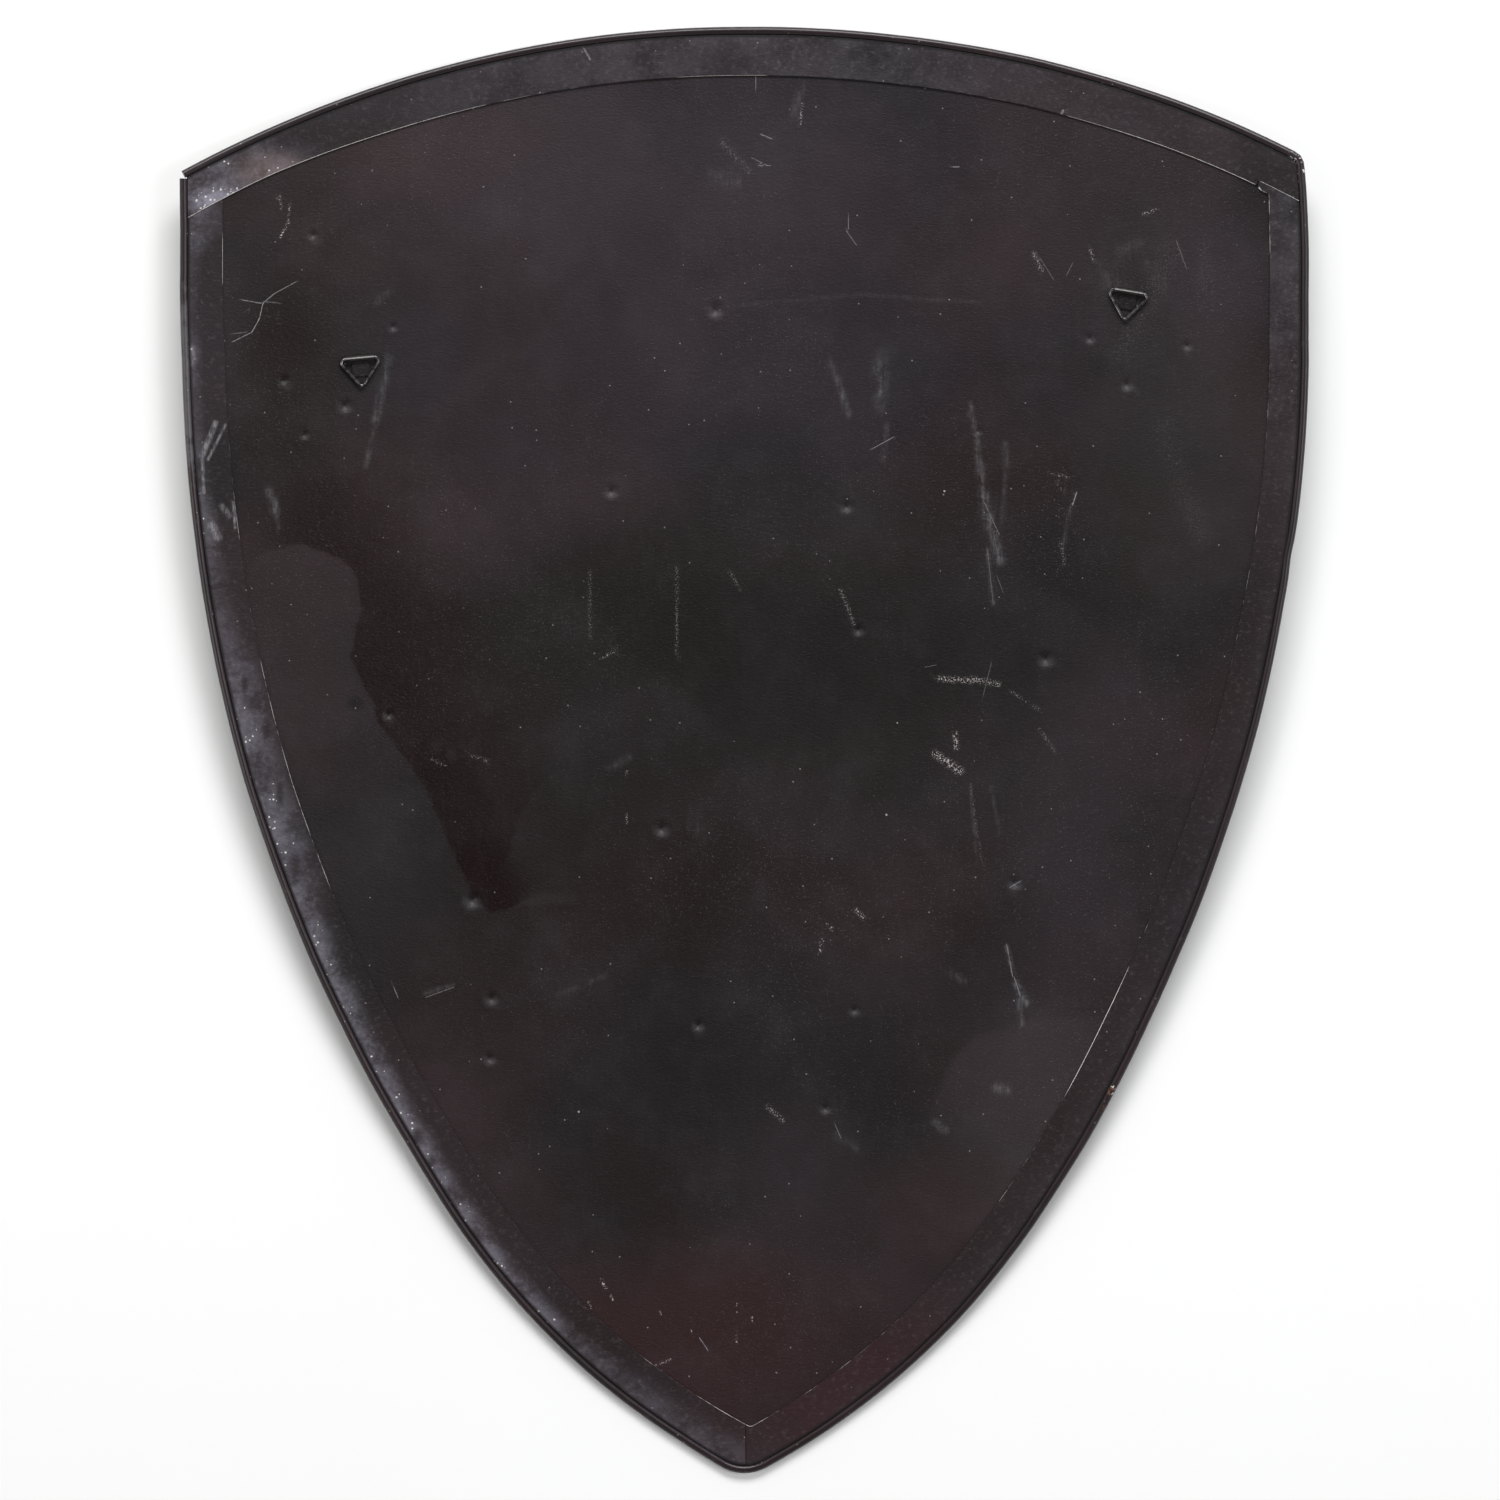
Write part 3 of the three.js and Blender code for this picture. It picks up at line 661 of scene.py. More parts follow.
def sheetRelief(x, y, fromEdge):
    rng = np.random.default_rng(sheetWork["seed"])
    sway = np.zeros(len(x))
    for _ in range(sheetWork["swayWaves"]):
        length = rng.uniform(*sheetWork["swayLength"])
        turn = rng.uniform(0, math.pi)
        wave = 2 * math.pi / length
        start = rng.uniform(0, 2 * math.pi)
        sway += np.sin(wave * (x * math.cos(turn) + y * math.sin(turn)) + start) * length
    sway *= sheetWork["sway"] / np.abs(sway).max()
    calm = rise(fromEdge, 0.8 * sheetWork["calmEdge"], 2 * sheetWork["calmEdge"])
    for hang in hangers.values():
        away = np.hypot(x - hang["x"], y - hang["y"])
        calm = calm * rise(away, sheetWork["calmHanger"], 3 * sheetWork["calmHanger"])
    relief = sway * calm
    for dentX, dentY, radius in backMarks["dents"]:
        away = np.hypot(x - dentX * mm, y - dentY * mm) / (radius * mm)
        depth = sheetWork["pitDepth"] * radius * mm / sheetWork["pitWide"]
        relief = relief - depth * (np.exp(-(away / 0.5) ** 2) - 0.12 * np.exp(-((away - 1.1) / 0.4) ** 2))
    return relief


def paintedDentGlints(x, y):  # painted highlight on the lower, lit side of each pit
    paintedGlint = np.zeros(len(x))
    for dentX, dentY, radius in backMarks["dents"]:
        across = (x / mm - dentX - 0.2 * radius) / (0.6 * radius)
        up = (y / mm - dentY + 0.36 * radius) / (0.36 * radius)
        paintedGlint = np.maximum(paintedGlint, np.exp(-across ** 2 - up ** 2))
    return paintedGlint


def awayFromStroke(points, start, end):  # distance, its signed part across the stroke, and beyond its ends
    start, end = np.array(start) * mm, np.array(end) * mm
    run = end - start
    length = np.hypot(*run)
    along = (points - start) @ run / length
    across = ((points - start) @ np.array([-run[1], run[0]])) / length
    beyond = np.maximum(np.maximum(-along, along - length), 0)
    return np.hypot(across, beyond), across, beyond


def softMarks(points, strokes):  # 1 on a stroke's line, fading to its half width
    field = np.zeros(len(points))
    for start, end, halfWidth, strength in strokes:
        away, _, _ = awayFromStroke(points, start, end)
        field = np.maximum(field, strength * (1 - rise(away, 0, halfWidth * mm)) ** 1.5)
    return field


def thinMarks(points, strokes):  # side of the nearest scratch in half widths, and its strength
    nearest = np.full(len(points), 1e9)
    side, strengths = np.full(len(points), 100.0), np.zeros(len(points))
    for start, end, halfWidth, strength in strokes:
        away, across, beyond = awayFromStroke(points, start, end)
        nearer = away < nearest
        kept = strength * (1 - rise(beyond, 0, sheetWork["scratchEnd"]))
        kept = kept * (1 - rise(away, *sheetWork["scratchReach"]))
        nearest[nearer] = away[nearer]
        side[nearer] = (across / (halfWidth * mm))[nearer]
        strengths[nearer] = kept[nearer]
    return side, strengths


def refineNearMarks(mesh, backFaces):  # smaller faces where dents and fine marks are
    net = bmesh.new()
    net.from_mesh(mesh)
    net.faces.ensure_lookup_table()
    middles = np.array([net.faces[i].calc_center_median()[:2] for i in backFaces])
    close = np.zeros(len(middles), bool)
    for x, y, radius in backMarks["dents"]:
        close |= np.hypot(middles[:, 0] - x * mm, middles[:, 1] - y * mm) < 1.3 * radius * mm
    for start, end, halfWidth, _ in backMarks["hazes"] + backMarks["scratches"] + backMarks["chips"]:
        if halfWidth < sheetWork["broadMark"]:
            reach = halfWidth * mm + sheetWork["markEdge"]
            close |= awayFromStroke(middles, start, end)[0] < reach
    chosen = [net.faces[backFaces[i]] for i in np.where(close)[0]]
    edges = list(dict.fromkeys(edge for face in chosen for edge in face.edges))
    bmesh.ops.subdivide_edges(net, edges=edges, cuts=sheetWork["markCuts"], use_grid_fill=True)
    net.to_mesh(mesh)
    net.free()


def makeSheet():
    runs = outlineRuns(shield["rimDiameter"] - shield["tuck"])
    columns, rows = sheetWork["columns"], sheetWork["rows"]
    grid = patchGrid(
        evenly(runs["tip"], columns),
        evenly(runs["crown"][::-1], columns),
        evenly(runs["left"][::-1], rows),
        evenly(joined(runs["right"], runs["corner"]), rows),
    )
    level = np.zeros(grid.shape[:2])
    mesh = slabMesh("ironSheet", grid, level + shield["sheetBack"], level + shield["sheetFront"])
    refineNearMarks(mesh, range((rows - 1) * (columns - 1)))
    places = readPlaces(mesh)
    flat = places[:, :2].copy()
    x, y = flat.T
    onBack = places[:, 2] > (shield["sheetFront"] + shield["sheetBack"]) / 2
    edge = evenly(np.concatenate([runs[name] for name in ("left", "tip", "right", "corner", "crown")]), 600)
    fromEdge = np.min(np.hypot(x[:, None] - edge[None, :, 0], y[:, None] - edge[None, :, 1]), axis=1)
    stain, along = distanceFromLine(flat, np.array(backMarks["stainEdge"]) * mm)
    pale, alongPale = distanceFromLine(flat, np.array(backMarks["paleEdge"]) * mm)
    setValues(mesh, "stain", stain)
    setValues(mesh, "stainShare", rise(along, 0.0, 0.16) * (1 - rise(along, 0.93, 1.0)))
    setValues(mesh, "pale", pale)
    setValues(mesh, "paleShare", rise(alongPale, 0.0, 0.3) * (1 - rise(alongPale, 0.7, 1.0)))
    setValues(mesh, "fromEdge", fromEdge)
    setValues(mesh, "haze", softMarks(flat, backMarks["hazes"]))
    setValues(mesh, "chips", softMarks(flat, backMarks["chips"]))
    setValues(mesh, "paintedGlint", paintedDentGlints(x, y))
    for name, strokes in (("scratch", "scratches"), ("branch", "branches")):
        side, strengths = thinMarks(flat, backMarks[strokes])
        setValues(mesh, name + "Side", side)
        setValues(mesh, name + "Strength", strengths)
    relief = sheetRelief(x, y, fromEdge) * rise(fromEdge, 0, sheetWork["calmRim"])
    height = np.where(onBack, bentHeight(x, shield["sheetBack"]) + relief,
                      bentHeight(x, shield["sheetFront"]) + np.maximum(relief, -sheetWork["frontDeepest"]))
    moved = unevenly(flat)
    height += bentHeight(moved[:, 0], 0) - bentHeight(x, 0)
    mesh.vertices.foreach_set("co", np.column_stack([moved, height]).ravel())
    normals = np.zeros(len(mesh.polygons) * 3)
    mesh.polygons.foreach_get("normal", normals)
    mesh.materials.append(makeSheetBackPaint())
    mesh.materials.append(makeSheetFrontPaint())
    mesh.polygons.foreach_set("material_index", (normals.reshape(-1, 3)[:, 2] < -0.5).astype(np.int32))
    smooth(mesh)
    piece = pieceFrom("iron_sheet", mesh)
    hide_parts("shield_plate")
    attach(piece, "root")
    return piece


def startMaterial(name):
    material = bpy.data.materials.new(name)
    material.use_nodes = True
    material.node_tree.nodes.clear()
    pad = NodePad(material.node_tree)
    out = pad.node("ShaderNodeOutputMaterial")
    shader = pad.node("ShaderNodeBsdfPrincipled")
    shader.inputs["Specular IOR Level"].default_value = paint["shine"]
    pad.tree.links.new(shader.outputs[0], out.inputs["Surface"])
    place = pad.node("ShaderNodeTexCoord").outputs["Object"]
    return material, pad, shader.inputs, place


def readValue(pad, name):
    return pad.node("ShaderNodeAttribute", attribute_name=name).outputs["Fac"]


def colour(*screen):  # red, green and blue from 0 to 255, as a screen shows them
    return tuple(((v / 255 + 0.055) / 1.055) ** 2.4 if v > 10 else v / 255 / 12.92 for v in screen) + (1,)


def addBump(pad, height, distance, strength=1.0, normal=None):
    bump = pad.node("ShaderNodeBump")
    pad.feed(bump.inputs["Height"], height)
    bump.inputs["Distance"].default_value = distance
    bump.inputs["Strength"].default_value = strength
    pad.feed(bump.inputs["Normal"], normal)
    return bump.outputs[0]


paint = {
    "dark": colour(17, 11, 11),
    "light": colour(38, 28, 32),
    "warm": colour(40, 24, 25),
    "cool": colour(23, 22, 25),
    "dust": colour(205, 203, 210),
    "bare": colour(226, 222, 218),
    "rust": colour(120, 78, 54),
    "chip": colour(216, 206, 204),
    "roughness": 0.46,
    "shine": 0.25,
    "clouds": 0.55,   # the clouds' colours are for a brighter paint than this light needs
}


def paintBase(pad, place, scale=5.0):  # tone and tint common to every painted piece
    clouds = pad.node("ShaderNodeGroup", node_tree=paintClouds)
    pad.feed(clouds.inputs["Vector"], place)
    clouds.inputs["Scale"].default_value = scale
    clouds.inputs["Contrast"].default_value = 1.3
    tone = clouds.outputs["Tone"]
    tinted = pad.mix(clouds.outputs["Warmth"], paint["cool"], paint["warm"])
    plain = pad.mix(pad.ease(tone, 0.3, 0.7), paint["dark"], paint["light"])
    return pad.mix(0.35, plain, tinted), tone


def patchOver(pad, place, middle, half, ragged, strength):  # a cloudy oval, placed in millimetres
    return pad.group(softPatch, {
        "Vector": place,
        "Centre": (middle[0] * mm, middle[1] * mm, 0),
        "Half Size": (half[0] * mm, half[1] * mm, 1),
        "Ragged": ragged,
        "Strength": strength,
    })


def specksOver(pad, place, spacing, size, amount):
    return pad.group(dustSpecks, {"Vector": place, "Spacing": spacing, "Size": size, "Amount": amount})


def strokeField(pad, place, strokes):
    field = None
    for start, end, halfWidth, strength in strokes:
        run = (Vector(end) - Vector(start)) * mm
        value = pad.group(rubStroke, {
            "Vector": place,
            "From": (start[0] * mm, start[1] * mm, 0),
            "Run": (run.x, run.y, 0),
            "Half Width": halfWidth * mm,
            "Strength": strength,
        })
        field = value if field is None else pad.math("MAXIMUM", field, value)
    return field


def raggedLines(pad, grit, name, ragged):  # the thin scratches of one attribute
    aside = pad.math("ABSOLUTE", pad.timesPlus(pad.centred(grit), ragged, readValue(pad, name + "Side")))
    return pad.times(pad.ease(aside, 0.45, 1.1, 1.0, 0.0), readValue(pad, name + "Strength"))


def paintNormal(pad, place, size=1.1 * mm, height=0.22 * mm, strength=0.9, normal=None):
    wide = pad.vector("MULTIPLY", place, (0.55, 1.0, 1.0))
    grain = pad.group(paintGrain, {"Vector": wide, "Size": size}, "Height")
    return addBump(pad, grain, height, strength, normal)


backFinish = {
    "cloudScale": 9.0,
    "cloudRagged": 0.45,
    "wander": (90.0, 6 * mm),      # how finely and how far the stain's edge wanders
    "fade": (16.0, 90 * mm),       # the same for its faded side
    "fadeReach": 85 * mm,
    "crisp": (-0.8 * mm, 1.6 * mm),
    "stain": colour(19, 5, 4),
    "stainShare": 0.85,
    "stainGloss": 0.12,            # taken off the roughness
    "pale": colour(52, 42, 46),
    "paleShare": 0.4,
    "fibreStretch": (1.0, 0.12, 1.0),
    "fibreScale": 700.0,
    "gritScale": 600.0,
    "flakeScale": 1500.0,
    "flakes": 0.7,
    "hazes": 0.16,
    "lines": 0.42,
    "fineDust": 0.12,
    "paintedGlints": 0.055,
    "dots": (7.2 * mm, 0.42 * mm, 0.22),      # spacing, size, strength
    "bigDots": (27 * mm, 0.6 * mm, 0.4),
    "film": 0.012,
    "pitRise": 0.25 * mm,
}


def makeSheetBackPaint():
    finish = backFinish
    material, pad, shader, place = startMaterial("sheetBackPaint")
    base, tone = paintBase(pad, place, finish["cloudScale"])
    for middle, half, tint, strength in backMarks["clouds"]:
        mask = patchOver(pad, place, middle, half, finish["cloudRagged"], strength)
        base = pad.mix(mask, base, colour(*(value * paint["clouds"] for value in tint)))

    # the dark stain has a crisp, wandering edge and fades on its other side
    wander, cloudy = (pad.times(pad.centred(pad.noise(place, scale, 4.0)), reach)
                      for scale, reach in (finish["wander"], finish["fade"]))
    stainSide = pad.math("ADD", readValue(pad, "stain"), wander)
    inner = pad.ease(pad.math("ADD", stainSide, cloudy), 0.0, finish["fadeReach"], 1.0, 0.0)
    crisp = pad.times(pad.ease(stainSide, *finish["crisp"]), inner)
    inStain = pad.times(crisp, readValue(pad, "stainShare"))
    base = pad.mix(pad.times(inStain, finish["stainShare"]), base, finish["stain"])
    paleSide = pad.math("ADD", readValue(pad, "pale"), wander)
    inPale = pad.times(pad.ease(paleSide, 2 * mm, -4 * mm), pad.ease(paleSide, -160 * mm, -10 * mm))
    inPale = pad.times(inPale, readValue(pad, "paleShare"))
    base = pad.mix(pad.times(inPale, finish["paleShare"]), base, finish["pale"])

    # hazy rubs made of fine streaks, thin scratches, little chips and dust, and a painted highlight low in
    # each pit
    fibre = pad.noise(pad.vector("MULTIPLY", place, finish["fibreStretch"]), finish["fibreScale"], 3.0, 0.7)
    grit = pad.noise(place, finish["gritScale"], 3.0, 0.7)
    torn = pad.ease(pad.noise(place, 150.0, 3.0, 0.6), 0.3, 0.65, 0.15, 1.0)
    streaks = pad.ease(pad.timesPlus(grit, 0.4, fibre), 0.45, 0.95, 0.1, 1.0)
    hazed = pad.times(pad.times(readValue(pad, "haze"), streaks), torn)
    scratches, branches = raggedLines(pad, grit, "scratch", 2.0), raggedLines(pad, grit, "branch", 3.0)
    lines = pad.math("MAXIMUM", scratches, branches)
    broken = pad.times(lines, pad.ease(grit, 0.3, 0.5, 0.25, 1.0))
    spots = pad.ease(pad.noise(place, finish["flakeScale"], 2.0, 0.6), 0.54, 0.6)
    flakes = pad.times(readValue(pad, "chips"), spots, clamp=True)
    dusty = pad.ease(pad.noise(place, 7.0, 3.0), 0.38, 0.62, 0.2, 0.75)
    spacing, size, dotShare = finish["dots"]
    dots = specksOver(pad, place, spacing, size, dusty)
    spacing, size, bigShare = finish["bigDots"]
    bigDots = specksOver(pad, pad.vector("ADD", place, (13 * mm, 8 * mm, 0)), spacing, size, 0.45)
    # painted highlight low in each pit, broken by grit
    paintedGlint = pad.times(readValue(pad, "paintedGlint"), pad.ease(grit, 0.3, 0.6, 0.35, 1.0))
    fineDust = pad.times(pad.ease(pad.noise(place, finish["flakeScale"], 1.0), 0.66, 0.74), dusty)
    marks = pad.times(hazed, finish["hazes"])
    for value, share in ((broken, finish["lines"]), (fineDust, finish["fineDust"]), (dots, dotShare),
                         (bigDots, bigShare), (paintedGlint, finish["paintedGlints"])):
        marks = pad.math("MAXIMUM", marks, pad.times(value, share))
    film = pad.ease(pad.timesPlus(fibre, 0.3, pad.noise(place, 26.0, 5.0, 0.7)), 0.55, 1.0)
    base = pad.mix(pad.times(film, finish["film"]), base, paint["dust"])
    base = pad.mix(marks, base, paint["dust"])
    base = pad.mix(pad.times(flakes, finish["flakes"]), base, paint["chip"])
    pad.feed(shader["Base Color"], base)
    rough = pad.timesPlus(tone, 0.16, paint["roughness"] - 0.08)
    pad.feed(shader["Roughness"], pad.timesPlus(inStain, -finish["stainGloss"], rough))
    pits = None
    for x, y, radius in backMarks["dents"]:
        pit = pad.group(dentMark, {"Vector": place, "Centre": (x * mm, y * mm, 0),
                                   "Radius": 0.4 * radius * mm, "Depth": 1.0})
        pits = pit if pits is None else pad.math("ADD", pits, pit)
    pad.feed(shader["Normal"], paintNormal(pad, place, normal=addBump(pad, pits, finish["pitRise"])))
    return material


def makeSheetFrontPaint():  # hidden in the photograph: the same coat, plainer
    material, pad, shader, place = startMaterial("sheetFrontPaint")
    base, tone = paintBase(pad, place, 5.0)
    specks = specksOver(pad, place, 12 * mm, 0.5 * mm, 0.3)
    film = pad.ease(pad.noise(place, 30.0, 5.0, 0.7), 0.5, 0.8)
    edge = pad.ease(readValue(pad, "fromEdge"), 0.0, 12 * mm, 0.06, 0.0)
    base = pad.mix(pad.math("ADD", pad.times(film, 0.03), edge), base, paint["dust"])
    base = pad.mix(pad.times(specks, 0.25), base, paint["dust"])
    pad.feed(shader["Base Color"], base)
    pad.feed(shader["Roughness"], pad.timesPlus(tone, 0.18, paint["roughness"] - 0.1))
    pad.feed(shader["Normal"], paintNormal(pad, place))
    return material


sheet = makeSheet()
print("sheet made,", len(sheet.data.polygons), "faces")

# Border strips on the back
strips = {
    "topLeft": 23.4 * mm,    # widths, measured in from the outline
    "topMiddle": 25.4 * mm,
    "topRight": 24.6 * mm,
    "leftTop": 21.3 * mm,
    "leftTip": 25.7 * mm,
    "rightTop": 19.6 * mm,
    "rightTip": 22.6 * mm,
    "mitre": 0.8 * mm,       # right of the middle
    "endStep": 2.6 * mm,     # the right strip's end lies this far over the top strip's line
    "tongue": 8.4 * mm,
    "heelRun": 5.4 * mm,     # from the heel's point to the strip's inner edge below it
    "heelStraight": 42 * mm,
    "heelLow": 3.2 * mm,     # where the heel's curve starts, and the point it bends towards
    "heelTurn": 1.5 * mm,
    "stepSlope": 0.2 * mm,   # the step in the top strip's lower edge leans by this
    "stepClear": 0.5 * mm,   # and the edge goes on past this
    "heelBeside": 0.6 * mm,  # the heel starts this far beside the step
    "heelDrop": 1.6,         # and its point lies this many end steps below
    "overhang": 4 * mm,      # the top strip's lower edge is drawn past the sides, to be cut there
    "edgeRound": 0.22 * mm,
    "cellsAlong": 420,
    "cellsAcross": 13,
    "rimGap": 0.02 * mm,
    "pastTip": 9 * mm,       # an inner edge is drawn on past the tip, to be cut there
}


def topStripEdge(x, drop=0.0):
    half = shield["width"] / 2 + shield["rimDiameter"]
    share = x / half
    side = np.where(share < 0, strips["topLeft"], strips["topRight"])
    width = strips["topMiddle"] + (side - strips["topMiddle"]) * share ** 2
    return onCrown(x, width + drop)


def innerEdge(side, widthTop, widthTip):  # a side strip's inner edge, from the top to past the tip
    bend = shield["upperSideAngle"]
    pieces = []
    arcs = ((upperSideCentre, upperSideRadius, 0.10, -bend, 260),
            (lowerSideCentre, shield["lowerSideRadius"], -bend, direction(lowerSideCentre, tipCentre), 240))
    for centre, radius, start, end, count in arcs:
        angles = np.linspace(start, end, count)
        ray = np.stack([np.cos(angles), np.sin(angles)], axis=1)
        outer = np.array(centre) + radius * ray
        share = np.clip((shield["height"] / 2 - outer[:, 1]) / shield["height"], 0, 1)
        width = widthTop + (widthTip - widthTop) * share
        pieces.append(outer - width[:, None] * ray)
    line = joined(*pieces)
    onward = line[-1] - line[-2]
    line = np.vstack([line, line[-1] + onward / np.hypot(*onward) * strips["pastTip"]])
    return line * np.array([side, 1])


def meeting(lineA, lineB):  # where two broken lines cross, and the two places along them
    for i in range(len(lineA) - 1):
        p, r = lineA[i], lineA[i + 1] - lineA[i]
        q, s = lineB[:-1], np.diff(lineB, axis=0)
        cross = r[0] * s[:, 1] - r[1] * s[:, 0]
        cross[np.abs(cross) < 1e-18] = 1e-18
        t = ((q[:, 0] - p[0]) * s[:, 1] - (q[:, 1] - p[1]) * s[:, 0]) / cross
        u = ((q[:, 0] - p[0]) * r[1] - (q[:, 1] - p[1]) * r[0]) / cross
        hit = np.where((t >= 0) & (t <= 1) & (u >= 0) & (u <= 1))[0]
        if len(hit):
            return p + t[hit[0]] * r, i, hit[0]
    raise ValueError("the lines don't cross")


def cutLine(line, cutter, keepStart):  # the part of a line before or after it meets another
    point, i, _ = meeting(line, cutter)
    return np.vstack([line[:i + 1], point]) if keepStart else np.vstack([point, line[i + 1:]])


def stripSlab(name, outer, inner, endA, endB, look):
    along, across = strips["cellsAlong"], strips["cellsAcross"]
    # the net runs along the strip from end A to end B, and across it from the inner edge to the rim
    grid = patchGrid(evenly(inner, along), evenly(outer, along), evenly(endA, across), evenly(endB, across))
    up, down = grid[1, 1] - grid[0, 0], grid[1, 0] - grid[0, 1]
    if up[0] * down[1] < up[1] * down[0]:  # so that its faces look up
        grid = grid[:, ::-1]
    flat = grid.reshape(-1, 2)
    moved = unevenly(flat)
    top = bentHeight(moved[:, 0], shield["stripTop"])
    bottom = bentHeight(moved[:, 0], shield["stripBottom"])
    mesh = slabMesh(name, moved.reshape(grid.shape), top, bottom)
    fromRim = np.abs(distanceFromLine(flat, evenly(outer, 600))[0])
    fromInner = np.abs(distanceFromLine(flat, inner)[0])
    dustAndSheen, worn = look(flat, fromRim)
    for label, values in (("fromRim", fromRim), ("fromInner", fromInner), ("dustAndSheen", dustAndSheen), ("worn", worn)):
        setValues(mesh, label, np.concatenate([values, values]))
    piece = pieceFrom(name, mesh)
    roundEdges(piece, strips["edgeRound"])
    smooth(mesh, 50)
    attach(piece, "root")
    return piece


# Pale haze (painted sheen of the soft lights, partly dust) and rubbed edges along the strips, by
# millimetres right of or above the middle
stripWearAndSheen = {
    "topPaler": ((-230, 0), (-120, 0.2), (60, 0.24), (200, 0.06)),
    "topWorn": ((-290, 1.0), (-170, 0.95), (-130, 0.6), (-110, 0.4), (-40, 0.25), (-30, 0.6),
                (12, 0.65), (20, 0.3), (140, 0.4), (180, 0.7), (205, 1.0), (262.6, 1.0), (263.3, 0.05),
                (264.5, 0.05), (265.2, 1.0), (290, 1.0)),
    "leftReach": ((375, 26), (268, 24), (255, 9), (205, 8), (150, 9), (110, 12), (60, 16), (46, 24),
                  (-50, 25), (-84, 17), (-150, 14), (-300, 11), (-330, 20), (-375, 20)),
    "leftSheen": ((375, 1.0), (276, 1.0), (268, 0.75), (250, 0.4), (222, 0.35), (208, 0.8), (190, 0.5),
                  (168, 0.4), (150, 0.6), (118, 0.8), (75, 0.45), (52, 0.6), (40, 1.0), (-60, 1.1),
                  (-110, 1.35), (-250, 1.25), (-305, 0.9), (-325, 0.45), (-375, 0.5)),
    "leftWorn": ((300, 0.35), (268, 0.3), (262, 0.55), (240, 0.5), (230, 0.2), (175, 0.25), (150, 0.3),
                 (140, 0.6), (126, 0.4), (118, 0.7), (100, 0.3), (50, 0.35), (40, 0.6), (-70, 0.6),
                 (-85, 0.2), (-300, 0.25), (-325, 0.4), (-345, 0.6), (-375, 0.6)),
    "rightWorn": ((300, 0.3), (291, 0.3), (289, 0.75), (286, 0.6), (262, 0.55), (250, 0.3), (180, 0.4),
                  (60, 0.35), (-60, 0.3), (-110, 0.4), (-126, 0.95), (-172, 0.95), (-184, 0.3),
                  (-200, 0.6), (-230, 0.5), (-250, 0.2), (-292, 0.3), (-302, 0.45), (-325, 0.4),
                  (-338, 0.65), (-375, 0.65)),
    "rightPaler": ((300, 0.3), (220, 0.22), (170, 0.1), (120, 0.0), (-375, 0.0)),
    "topDustAndSheen": ((-258, 290), (50, 30), 0.85),    # middle, half size, strength
    "topDustAndHighlightCore": ((-270, 284), (22, 11), 1.7),
    "topRim": (8, 0.06),                         # reach in from the rim, strength
    "rightRim": (12, 0.08),
}


def ovalDistance(x, y, middle, half):
    return np.hypot((x - middle[0] * mm) / (half[0] * mm), (y - middle[1] * mm) / (half[1] * mm))


def topLook(flat, fromRim):  # a dusty left end with a painted highlight at its core, and a lower edge rubbed bright in stretches
    x, y = flat.T
    middle, half, strength = stripWearAndSheen["topDustAndSheen"]
    dustAndSheen = strength * (1 - rise(ovalDistance(x, y, middle, half), 0.4, 1.2))
    middle, half, strength = stripWearAndSheen["topDustAndHighlightCore"]
    dustAndSheen += strength * (1 - rise(ovalDistance(x, y, middle, half), 0.1, 1.0))
    reach, strength = stripWearAndSheen["topRim"]
    dustAndSheen += strength * (1 - rise(fromRim, 0, reach * mm)) + spread(x, *stripWearAndSheen["topPaler"])
    return dustAndSheen, spread(x, *stripWearAndSheen["topWorn"])


def leftLook(flat, fromRim):  # painted sheen beside the rim, partly dust, widest half way down
    y = flat[:, 1]
    reach = spread(y, *stripWearAndSheen["leftReach"])
    dustAndSheen = spread(y, *stripWearAndSheen["leftSheen"]) * (1 - rise(fromRim / mm / reach, 0.1, 1.0)) ** 1.2
    return dustAndSheen, spread(y, *stripWearAndSheen["leftWorn"])


def rightLook(flat, fromRim):
    y = flat[:, 1]
    reach, strength = stripWearAndSheen["rightRim"]
    dustAndSheen = spread(y, *stripWearAndSheen["rightPaler"]) + strength * (1 - rise(fromRim, 0, reach * mm))
    return dustAndSheen, spread(y, *stripWearAndSheen["rightWorn"])


stripScuffs = {  # in millimetres: rubs by from, to, half width, strength; thumb marks by middle, half size
    "hazes": [((-273, 169), (-280, 152), 2.2, 1.0), ((-268, 168), (-277, 150), 1.2, 0.8),
              ((-280, 152), (-279, 133), 1.4, 0.8), ((-275, 116), (-272, 110), 3.4, 0.8),
              ((-264, 128), (-263, 115), 1.2, 1.0), ((-270, 126), (-266, 121), 2.4, 0.6),
              ((-286, 208), (-285, 200), 2.8, 0.7), ((-206, -205), (-203, -213), 0.9, 1.1),
              ((-212, -195), (-205, -199), 0.8, 0.9), ((165, 331), (161, 322), 1.0, 1.3),
              ((-85, 367), (-80, 358), 0.8, 0.9), ((207, 300), (214, 306), 3.0, 0.4),
              ((193, -113), (198, -114), 1.4, 0.8), ((-90, -338), (-60, -348), 5.0, 0.35)],
    "thumbs": [((-169, -200), (3.4, 5.0)), ((-162, -213), (3.4, 4.4)), ((-232, -60), (3, 8)),
               ((-247, 10), (3, 7)), ((-240, -22), (2.4, 9)), ((-205, -112), (3, 8)),
               ((-258, 34), (2, 7))],
}


